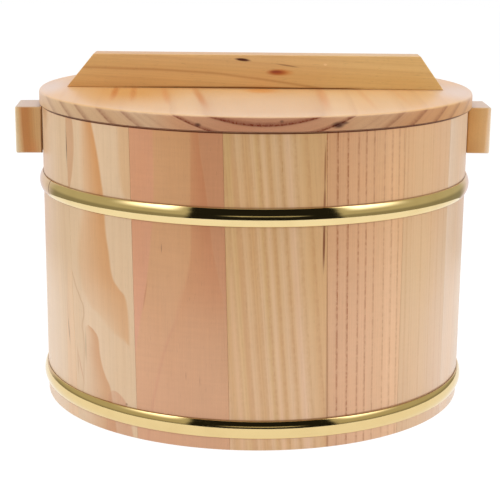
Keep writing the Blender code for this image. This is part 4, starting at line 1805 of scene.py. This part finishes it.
    def build_handles(self, staves: list[Object]) -> None:
        """Makes the side handle blocks and their screws, and cuts the screws' holes.

        Args:
            staves: The staves, which the screws go through.
        """
        lean = math.atan((self.rim_radius - self.foot_radius) / self.height)
        steel = STEEL.material("screw_steel")
        for plan in self.blocks:
            side = plan.side
            middle = self.height - plan.drop - self.block_height / 2
            angle = self.stave_middles()[plan.stave] + plan.turn
            place = (
                Matrix.Translation(polar(angle, self.outer_radius(middle) + self.play, middle))
                @ Matrix.Rotation(angle - math.pi / 2, 4, "Z")
                @ Matrix.Rotation(lean, 4, "Y")
            )
            block = self._block_shape(plan, place).object(f"handle_block_{side}", SHARP_BLOCK_ANGLE)
            holes = []
            for label, way in (("lower", -1), ("upper", 1)):
                height = middle + way * self.screw_spacing / 2
                inner = self.inner_radius(height) + self.screw_sink
                head = aimed(polar(angle, inner, height), polar(angle, 1.0))
                node = f"side_handle_screw_{side}_{label}"
                screw = self.screw.build(f"steel_{node}", head)
                show(screw, steel, Body.BARREL, Slot.SCREWS, node)
                holes.append(self.screw.hole(f"{node}_in_block", head))
                carved(staves[plan.stave], [self.screw.hole(f"{node}_in_stave", head)])
            carved(block, holes)
            along = tangent(angle) * (1 if side == "left" else -1)
            front = Board(place.translation, polar(angle, 1.0), UP, along)
            material = BLOCK_WOODS[side].material(f"block_wood_{side}", front)
            show(block, material, Body.BARREL, Slot.BLOCKS, f"side_handle_{side}")

    def build_pegs(self, staves: list[Object], angles: list[float]) -> None:
        """Makes the pegs that carry the grate, and cuts their holes in the staves.

        Args:
            staves: The staves.
            angles: The pegs' angles round the barrel.
        """
        feet = self.joint_angles([plan.foot for plan in STAVES])
        wall = self.inner_radius(self.peg_height)
        length = self.peg_reach + self.peg_seat
        rounding = quarter_round(self.peg_ease, EDGE_STEPS)
        for number, angle in enumerate(angles, start=1):
            place = aimed(polar(angle, wall - self.peg_reach, self.peg_height), polar(angle, 1.0))
            profile = [(0.0, 0.0)]
            profile += [(self.peg_radius - inset, -away) for inset, away in rounding]
            profile += [(self.peg_radius - inset, away - length) for inset, away in reversed(rounding)]
            profile.append((0.0, -length))
            peg = Shape().turned(profile, self.peg_steps, place).object(f"bamboo_peg_{number}")
            board = Board(place.translation, tangent(angle), UP, polar(angle, 1.0))
            material = bamboo(self.peg_seed + number).material(f"bamboo_{number}", board)
            show(peg, material, Body.BARREL, Slot.PEGS, f"grate_peg_{number}")

            wide, end = self.peg_radius + self.play, -length - self.play
            hole = [(0.0, self.peg_reach), (wide, self.peg_reach), (wide, end), (0.0, end)]
            cutter = Shape().turned(hole, self.peg_steps, place).object(f"peg_hole_{number}")
            turned_on = (angle - feet[0]) % FULL_TURN + feet[0]
            index = max(place for place in range(len(STAVES)) if feet[place] <= turned_on)
            carved(staves[index], [cutter])


def bamboo(seed: float) -> Wood:
    """The bamboo of a peg, whose seed moves its noise."""
    return Wood(
        tones=graded((-5, 222, 196, 136), (0, 214, 186, 124), (5, 224, 198, 140)),
        ring=0.9,
        faint=0.3,
        waver=0.1,
        fibre=0.10,
        seed=seed,
    )


@dataclass
class Lid:
    """The lid board, its handle bar and their screws."""

    barrel: Barrel
    radius: float = 0.1420
    shift: float = 0.0004
    edge: float = 0.0093
    step: float = 0.0055
    step_play: float = 0.0010
    top_ease: float = 0.0018
    low_ease: float = 0.0003
    top_rings: tuple[float, ...] = (0.0, 0.5, 0.9)
    steps: int = 288
    bar_foot: float = 0.2468
    bar_top: float = 0.2135
    bar_top_shift: float = 0.00105
    bar_height: float = 0.0215
    bar_thickness: float = 0.0190
    bar_ease: float = 0.0005
    bar_play: float = 0.00005
    play: float = 0.0003
    screw_spacing: float = 0.0700
    screw: WoodScrew = WoodScrew(0.0280)

    @property
    def seat(self) -> float:
        """The height of the lid's rim over the barrel's."""
        return self.barrel.height + self.play

    def _profile(self) -> list[tuple[float, float]]:
        """Lays out the board's profile, from the middle of its top to the middle of its underside.

        Returns:
            Points as radius and height.
        """
        top = self.seat + self.edge
        floor = self.seat - self.step
        step_radius = self.barrel.inner_radius(self.barrel.height) - self.step_play
        profile = [(self.radius * share, top) for share in self.top_rings]
        rounding = quarter_round(self.top_ease, CORNER_STEPS)
        profile += [(self.radius - inset, top - away) for inset, away in rounding]
        low = quarter_round(self.low_ease, EDGE_STEPS)
        profile += [(self.radius - inset, self.seat + away) for inset, away in reversed(low)]
        profile.append((step_radius, self.seat))
        profile += [(step_radius - inset, floor + away) for inset, away in reversed(low)]
        profile.append((0.0, floor))
        return profile

    def build(self) -> None:
        """Makes the board, the bar and the screws."""
        moved = Matrix.Translation(Vector((self.shift, 0.0, 0.0)))
        board = Shape().turned(self._profile(), self.steps, moved).object("fir_lid")
        low = self.seat + self.edge + self.bar_play
        high = self.seat + self.edge + self.play + self.bar_height
        half_foot, half_top, half_y = self.bar_foot / 2, self.bar_top / 2, self.bar_thickness / 2
        corners = []
        for half, moved_on, height in ((half_foot, 0.0, low), (half_top, self.bar_top_shift, high)):
            ring = ((-half, -half_y), (half, -half_y), (half, half_y), (-half, half_y))
            corners += [Vector((x + moved_on, y, height)) for x, y in ring]
        bar = eased_block("lid_bar", corners, self.bar_ease)

        steel = STEEL.material("lid_screw_steel")
        board_holes = []
        bar_holes = []
        for number, way in enumerate((-1, 0, 1), start=1):
            head = aimed(Vector((way * self.screw_spacing, 0.0, self.seat - self.step)), UP)
            screw = self.screw.build(f"steel_lid_screw_{number}", head)
            show(screw, steel, Body.LID, Slot.SCREWS, f"lid_screw_{number}")
            for cutters, part in ((board_holes, "lid"), (bar_holes, "bar")):
                cutters.append(self.screw.hole(f"{part}_hole_{number}", head))
        carved(board, board_holes)
        carved(bar, bar_holes)

        top = Vector((0.0, 0.0, self.seat + self.edge))
        lid_frame = Board(top, RIGHT, -UP, BACK)
        show(board, LID_WOOD.material("fir_lid_board", lid_frame), Body.LID, Slot.LID, "lid_board")
        face = Vector((0.0, -half_y, high - self.bar_height / 2))
        bar_frame = Board(face, UP, BACK, RIGHT)
        show(bar, BAR_WOOD.material("bar_wood", bar_frame), Body.LID, Slot.BAR, "lid_handle")


def slat_fir(seed: float) -> Wood:
    """Picks the fir of one slat or batten.

    Args:
        seed: Its seed, which also sets its tone and its place in the log.

    Returns:
        The wood.
    """
    sway = math.sin(seed * 3.7)
    pale = shift(STRAW, 1.0, 1.0 + 0.03 * sway, 1.0 + 0.06 * sway)
    warm, dull = shift(pale, 1.0, 0.96, 0.9), shift(pale, 0.98, 0.95, 0.9)
    return Wood(
        tones=((0.0, pale), (20.0, warm), (45.0, pale), (80.0, dull)),
        cut=LogCut(18.0 * sway, 38.0 + 9.0 * sway, 0.01 * sway, 0.02),
        ring=2.6,
        faint=0.35,
        seed=seed,
    )


@dataclass
class Grate:
    """The slatted grate that carries the rice cloth."""

    barrel: Barrel
    slat_count: int = 8
    slat_gap: float = 0.0070
    slat_thickness: float = 0.0090
    slat_ease: float = 0.0010
    notch: float = 0.0030
    batten_width: float = 0.0200
    batten_height: float = 0.0120
    batten_place: float = 0.4100
    edge_play: float = 0.0025
    play: float = 0.0003
    nail_head: float = 0.0022
    nail_shank: float = 0.0011
    nail_head_depth: float = 0.0009
    nail_length: float = 0.0160
    nail_point: float = 0.0020
    nail_crown: float = 0.0002
    nail_flat: float = 0.85
    nail_steps: int = 20
    slat_seed: float = 50.0
    batten_seed: float = 60.0
    steps: int = 256

    @property
    def floor(self) -> float:
        """The height of the battens' lower face."""
        return self.barrel.peg_height + self.barrel.peg_radius + self.play

    @property
    def radius(self) -> float:
        """The grate's radius."""
        return self.barrel.inner_radius(self.floor) - self.edge_play

    @property
    def batten_middle(self) -> float:
        """How far a batten's middle lies in front of or behind the grate's."""
        return self.radius * self.batten_place

    @property
    def slat_floor(self) -> float:
        """The height of the slats' lower face."""
        return self.floor + self.batten_height - self.notch + self.play

    @property
    def slat_width(self) -> float:
        """The width of a slat."""
        return (2 * self.radius - (self.slat_count - 1) * self.slat_gap) / self.slat_count

    def peg_angles(self) -> list[float]:
        """Finds the places of the pegs.

        Returns:
            Their angles round the barrel, one under each end of the battens.
        """
        edge = self.batten_middle + self.batten_width / 2
        side = math.atan2(math.sqrt(self.radius**2 - edge**2), self.batten_middle)
        return [-side, side, math.pi - side, math.pi + side]

    def _slat_middles(self) -> list[float]:
        """The middle of each slat, from left to right."""
        pitch = self.slat_width + self.slat_gap
        return [(number - (self.slat_count - 1) / 2) * pitch for number in range(self.slat_count)]

    def _rounded_off(self, obj: Object) -> Object:
        """Cuts a piece to the grate's round.

        Args:
            obj: The piece.

        Returns:
            The piece.
        """
        outer = self.radius * 2
        low, high = self.floor - self.play, self.slat_floor + self.slat_thickness + self.play
        profile = [(self.radius, low), (outer, low), (outer, high), (self.radius, high), (self.radius, low)]
        return carved(obj, [Shape().turned(profile, self.steps).object("grate_round")])

    def _slat(self, number: int, middle: float) -> Object:
        """Makes a slat with eased edges, cut to the round.

        Args:
            number: The slat's number from the left.
            middle: Where its middle is.

        Returns:
            The slat.
        """
        half = self.slat_width / 2
        low = Vector((middle - half, -self.radius - self.slat_gap, self.slat_floor))
        high = Vector((middle + half, self.radius + self.slat_gap, self.slat_floor + self.slat_thickness))
        return self._rounded_off(eased_block(f"fir_slat_{number}", box_corners(low, high), self.slat_ease))

    def _batten(self, label: str, way: int) -> Object:
        """Makes a notched batten, cut to the round.

        Args:
            label: Which batten it is.
            way: -1 for the front one and 1 for the back one.

        Returns:
            The batten.
        """
        middle = way * self.batten_middle
        top = self.floor + self.batten_height
        low = Vector((-self.radius - self.slat_gap, middle - self.batten_width / 2, self.floor))
        high = Vector((self.radius + self.slat_gap, middle + self.batten_width / 2, top))
        batten = eased_block(f"fir_batten_{label}", box_corners(low, high), self.slat_ease / 2)
        half = self.slat_width / 2 + self.play
        notches = []
        for number, slat_middle in enumerate(self._slat_middles()):
            notch_low = Vector((slat_middle - half, low.y - self.notch, self.slat_floor - self.play))
            notch_high = Vector((slat_middle + half, high.y + self.notch, top + self.notch))
            notch = block_shape(box_corners(notch_low, notch_high))
            notches.append(notch.object(f"notch_{label}_{number}"))
        return self._rounded_off(carved(batten, notches))

    def _nail_profile(self, play: float = 0.0, above: float = 0.0) -> list[tuple[float, float]]:
        """A nail's profile, its head level with zero.

        Args:
            play: The room round the nail, for its hole.
            above: How far a hole runs past the face that it enters.

        Returns:
            Points as radius and height.
        """
        head, shank = self.nail_head + play, self.nail_shank + play
        top = [(0.0, above), (head, above)] if above else [(0.0, 0.0), (head * self.nail_flat, 0.0)]
        sides = [(head, 0.0 if above else -self.nail_crown), (shank, -self.nail_head_depth)]
        return [*top, *sides, (shank, self.nail_point - self.nail_length), (0.0, -self.nail_length - play)]

    def build(self) -> None:
        """Makes the slats, battens and nails."""
        steel = STEEL.material("nail_steel")
        top = self.slat_floor + self.slat_thickness
        end = math.sqrt(self.radius**2 - self.batten_middle**2)
        battens = {"front": self._batten("front", -1), "back": self._batten("back", 1)}
        count = 0
        for number, middle in enumerate(self._slat_middles(), start=1):
            slat = self._slat(number, middle)
            half = self.slat_width / 2
            across = (max(-end, middle - half) + min(end, middle + half)) / 2
            for label, way in (("front", -1), ("back", 1)):
                count += 1
                place = Matrix.Translation((across, way * self.batten_middle, top))
                nail = Shape().turned(self._nail_profile(), self.nail_steps, place)
                name = f"nail_{count:02d}"
                show(nail.object(f"steel_{name}"), steel, Body.GRATE, Slot.NAILS, f"grate_{name}")
                for wood in (slat, battens[label]):
                    profile = self._nail_profile(self.play, self.notch)
                    cutter = Shape().turned(profile, self.nail_steps, place).object(f"{name}_hole")
                    carved(wood, [cutter])
            board = Board(Vector((middle, 0.0, top)), RIGHT, -UP, BACK)
            material = slat_fir(self.slat_seed + number).material(f"fir_slat_board_{number}", board)
            show(slat, material, Body.GRATE, Slot.GRATE, f"grate_slat_{number}")
        for label, batten in battens.items():
            board = Board(Vector((0.0, 0.0, self.floor)), BACK, UP, RIGHT)
            seed = self.batten_seed + len(label)
            material = slat_fir(seed).material(f"fir_batten_board_{label}", board)
            show(batten, material, Body.GRATE, Slot.GRATE, f"grate_batten_{label}")

@dataclass
class Studio:
    """The floor, the backdrop, the lights and the camera.

    Attributes:
        lens: The camera's focal length on a full-frame sensor, in millimetres.
        stand: Where the camera is.
        pitch: How far it looks down, in radians.
        roll: How far it is turned about its own axis.
        floor_share: How much of the floor glows where it is seen.
        pool_share: How much of it glows round the object, in any light, until it fades over pool_reach.
        table_radius: Where the ring that hoops and foot reflect starts.
        screen_turn: How far the room that is reflected is turned, in degrees.
        lean: How many degrees its edges lean for each metre above lean_foot.
        ceiling_lean: The same for each metre in from the screen's edge, over its bend up the ceiling.
        side_start: Where the pale sides start, in degrees from the front. back_start, table_end and the
            box's start and end are such angles too, and each foot, top, bend and over_end is in metres.
        target: What the lights are aimed at.
    """

    lens: float = 106.22
    stand: Vector = field(default_factory=lambda: Vector((-0.0024, -0.975, 0.3186)))
    pitch: float = 0.2289
    roll: float = 0.0094
    nearest: float = 0.01
    farthest: float = 50.0
    floor_reach: float = 4.0
    floor_steps: int = 96
    floor_tone: float = 0.86
    floor_glow: float = 1.12
    floor_share: float = 0.86
    pool_share: float = 0.6
    pool_reach: Span = (0.16, 0.60)
    world_light: float = 0.42
    table_radius: float = 0.45
    screen_radius: float = 1.0
    screen_height: float = 1.8
    screen_foot: float = 0.001
    screen_steps: int = 120
    screen_turn: float = 5.0
    lean: float = 11.0
    lean_foot: float = 0.48
    ceiling_lean: float = 95.0
    ceiling_bend: Span = (0.5, 1.5)
    side_start: Span = (34.5, 38.0)
    back_start: Span = (124.0, 142.0)
    box_start: Span = (38.0, 51.0)
    box_end: Span = (60.0, 86.0)
    box_foot: Span = (0.34, 0.90)
    over_end: Span = (0.35, 0.65)
    over_foot: Span = (1.6, 1.7)
    table_end: Span = (10.0, 24.0)
    table_foot: Span = (0.15, 0.17)
    table_top: Span = (0.22, 0.25)
    table_tone: float = 0.62
    wall_foot: Span = (0.0, 0.20)
    wall_rise: float = 0.22
    wall_tone: float = 0.28
    dark_tone: float = 0.014
    target: Vector = field(default_factory=lambda: Vector((0.0, 0.0, 0.1)))

    def build(self) -> None:
        """Makes everything that isn't part of the object."""
        self._camera()
        self._world()
        self._floor()
        self._screen()
        self._lights()

    def _camera(self) -> None:
        """Makes the camera at the photograph's viewing angle."""
        data = bpy.data.cameras.new("camera")
        data.lens = self.lens
        data.clip_start = self.nearest
        data.clip_end = self.farthest
        camera = placed(bpy.data.objects.new("camera", data))
        camera.matrix_world = (
            Matrix.Translation(self.stand)
            @ Matrix.Rotation(math.pi / 2 - self.pitch, 4, "X")
            @ Matrix.Rotation(self.roll, 4, "Z")
        )
        bpy.context.scene.camera = camera

    def _world(self) -> None:
        """Makes a world that is white to look at and a soft grey as light."""
        world = bpy.data.worlds.new("studio")
        bpy.context.scene.world = world
        world.use_nodes = True
        nodes = Nodes(world.node_tree)
        light = nodes.make("Background", {}, {"Color": (self.world_light,) * 3})
        white = nodes.make("Background", {}, {"Color": WHITE})
        shader = nodes.make("MixShader", {}, {0: self._seen(nodes), 1: light, 2: white})
        nodes.finish(shader, "OutputWorld")

    @staticmethod
    def _seen(nodes: Nodes) -> Flow:
        """Tells rays that look from those that carry light.

        Args:
            nodes: The material's nodes.

        Returns:
            1 for a ray from the camera, by reflection or through glass, and 0 for light.
        """
        kinds = ("Camera", "Glossy", "Transmission")
        rays = [nodes.make("LightPath", output=f"Is {kind} Ray") for kind in kinds]
        return rays[0].most(rays[1]).most(rays[2])

    def _floor(self) -> None:
        """Makes the pale floor, which is white to look at but for the object's soft shadow."""
        floor = Shape().turned([(0.0, 0.0), (self.floor_reach, 0.0)], self.floor_steps).object("floor")
        material, nodes = new_material("pale_floor")
        diffuse = nodes.make("BsdfDiffuse", {}, {"Color": (self.floor_tone,) * 3})
        glow = nodes.make("Emission", {}, {"Color": WHITE, "Strength": self.floor_glow})
        place = nodes.place()
        away = (place.dot(RIGHT) ** 2 + place.dot(BACK) ** 2) ** 0.5
        pool = (1 - away.smooth(*self.pool_reach)) * self.pool_share
        share = (self._seen(nodes) * self.floor_share).most(pool)
        nodes.finish(nodes.make("MixShader", {}, {0: share, 1: diffuse, 2: glow}))
        floor.data.materials.append(material)

    def _screen(self) -> None:
        """Makes what only reflections see: the dark room in front, soft boxes and a pale back."""
        reach, foot, top = self.screen_radius, self.screen_foot, self.screen_height
        profile = [(self.table_radius, foot), (reach, foot), (reach, top), (0.0, top)]
        screen = Shape().turned(profile, self.screen_steps).object("studio_screen")
        material, nodes = new_material("studio_screen")
        place = nodes.place()
        turn = abs(place.dot(RIGHT).bearing(place.dot(-BACK)) * math.degrees(1) - self.screen_turn)
        height = place.dot(UP)
        out = (place * (RIGHT + BACK)).dot(place) ** 0.5
        risen = (height - self.lean_foot).most(0.0) * self.lean
        drawn_in = (reach - out) * self.ceiling_lean * height.smooth(*self.ceiling_bend)
        bent = turn - risen - drawn_in
        side = bent.smooth(*self.side_start)
        back = turn.smooth(*self.back_start)
        table = (1 - turn.smooth(*self.table_end)) * height.smooth(*self.table_foot)
        table = table * (1 - height.smooth(*self.table_top))
        wall = height.smooth(*self.wall_foot) * self.wall_rise + self.wall_tone
        grey = side * wall + table * self.table_tone + self.dark_tone
        box = bent.smooth(*self.box_start) * (1 - bent.smooth(*self.box_end)) * height.smooth(*self.box_foot)
        over = (1 - out.smooth(*self.over_end)) * height.smooth(*self.over_foot)
        warm = grey.ramp(((0.0, BLACK), (1.0, SCREEN_WARM)))
        colour = warm.mixed(BACK_LIGHT, back).mixed(WHITE, over)
        lit = colour.mixed(BOX_LIGHT, box)
        nodes.finish(nodes.make("Emission", {}, {"Color": lit}))
        screen.data.materials.append(material)
        for ray in ("camera", "diffuse", "transmission", "volume_scatter", "shadow"):
            setattr(screen, f"visible_{ray}", False)

    def _lights(self) -> None:
        """Hangs the soft lights: one at each side, one above and a weak one in front."""
        for name, point, size, power in (
            ("left_light", Vector((-1.3, -0.25, 0.55)), 1.1, 7.0),
            ("right_light", Vector((1.3, -0.25, 0.55)), 1.1, 7.0),
            ("top_light", Vector((0.0, 0.1, 1.5)), 1.2, 8.0),
            ("front_light", Vector((0.0, -1.7, 0.8)), 1.0, 6.0),
        ):
            data = bpy.data.lights.new(name, "AREA")
            data.shape = "DISK"
            data.size = size
            data.energy = power
            light = placed(bpy.data.objects.new(name, data))
            light.matrix_world = aimed(point, self.target - point)
            light.visible_glossy = False


def clear_scene() -> None:
    """Removes whatever the file starts with."""
    for obj in list(bpy.data.objects):
        bpy.data.objects.remove(obj, do_unlink=True)


def main() -> None:
    """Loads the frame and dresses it."""
    logging.basicConfig(level=logging.INFO, format="%(message)s")
    clear_scene()
    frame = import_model()
    LOG.info("the frame has %d nodes", len(frame["nodes"]))

    barrel = Barrel()
    grate = Grate(barrel)
    staves = barrel.build_staves()
    barrel.build_hoops()
    barrel.build_handles(staves)
    barrel.build_pegs(staves, grate.peg_angles())
    barrel.dress_staves(staves)
    Lid(barrel).build()
    grate.build()
    Studio().build()
    bpy.context.scene.view_settings.view_transform = "Standard"


if __name__ == "__main__":
    main()
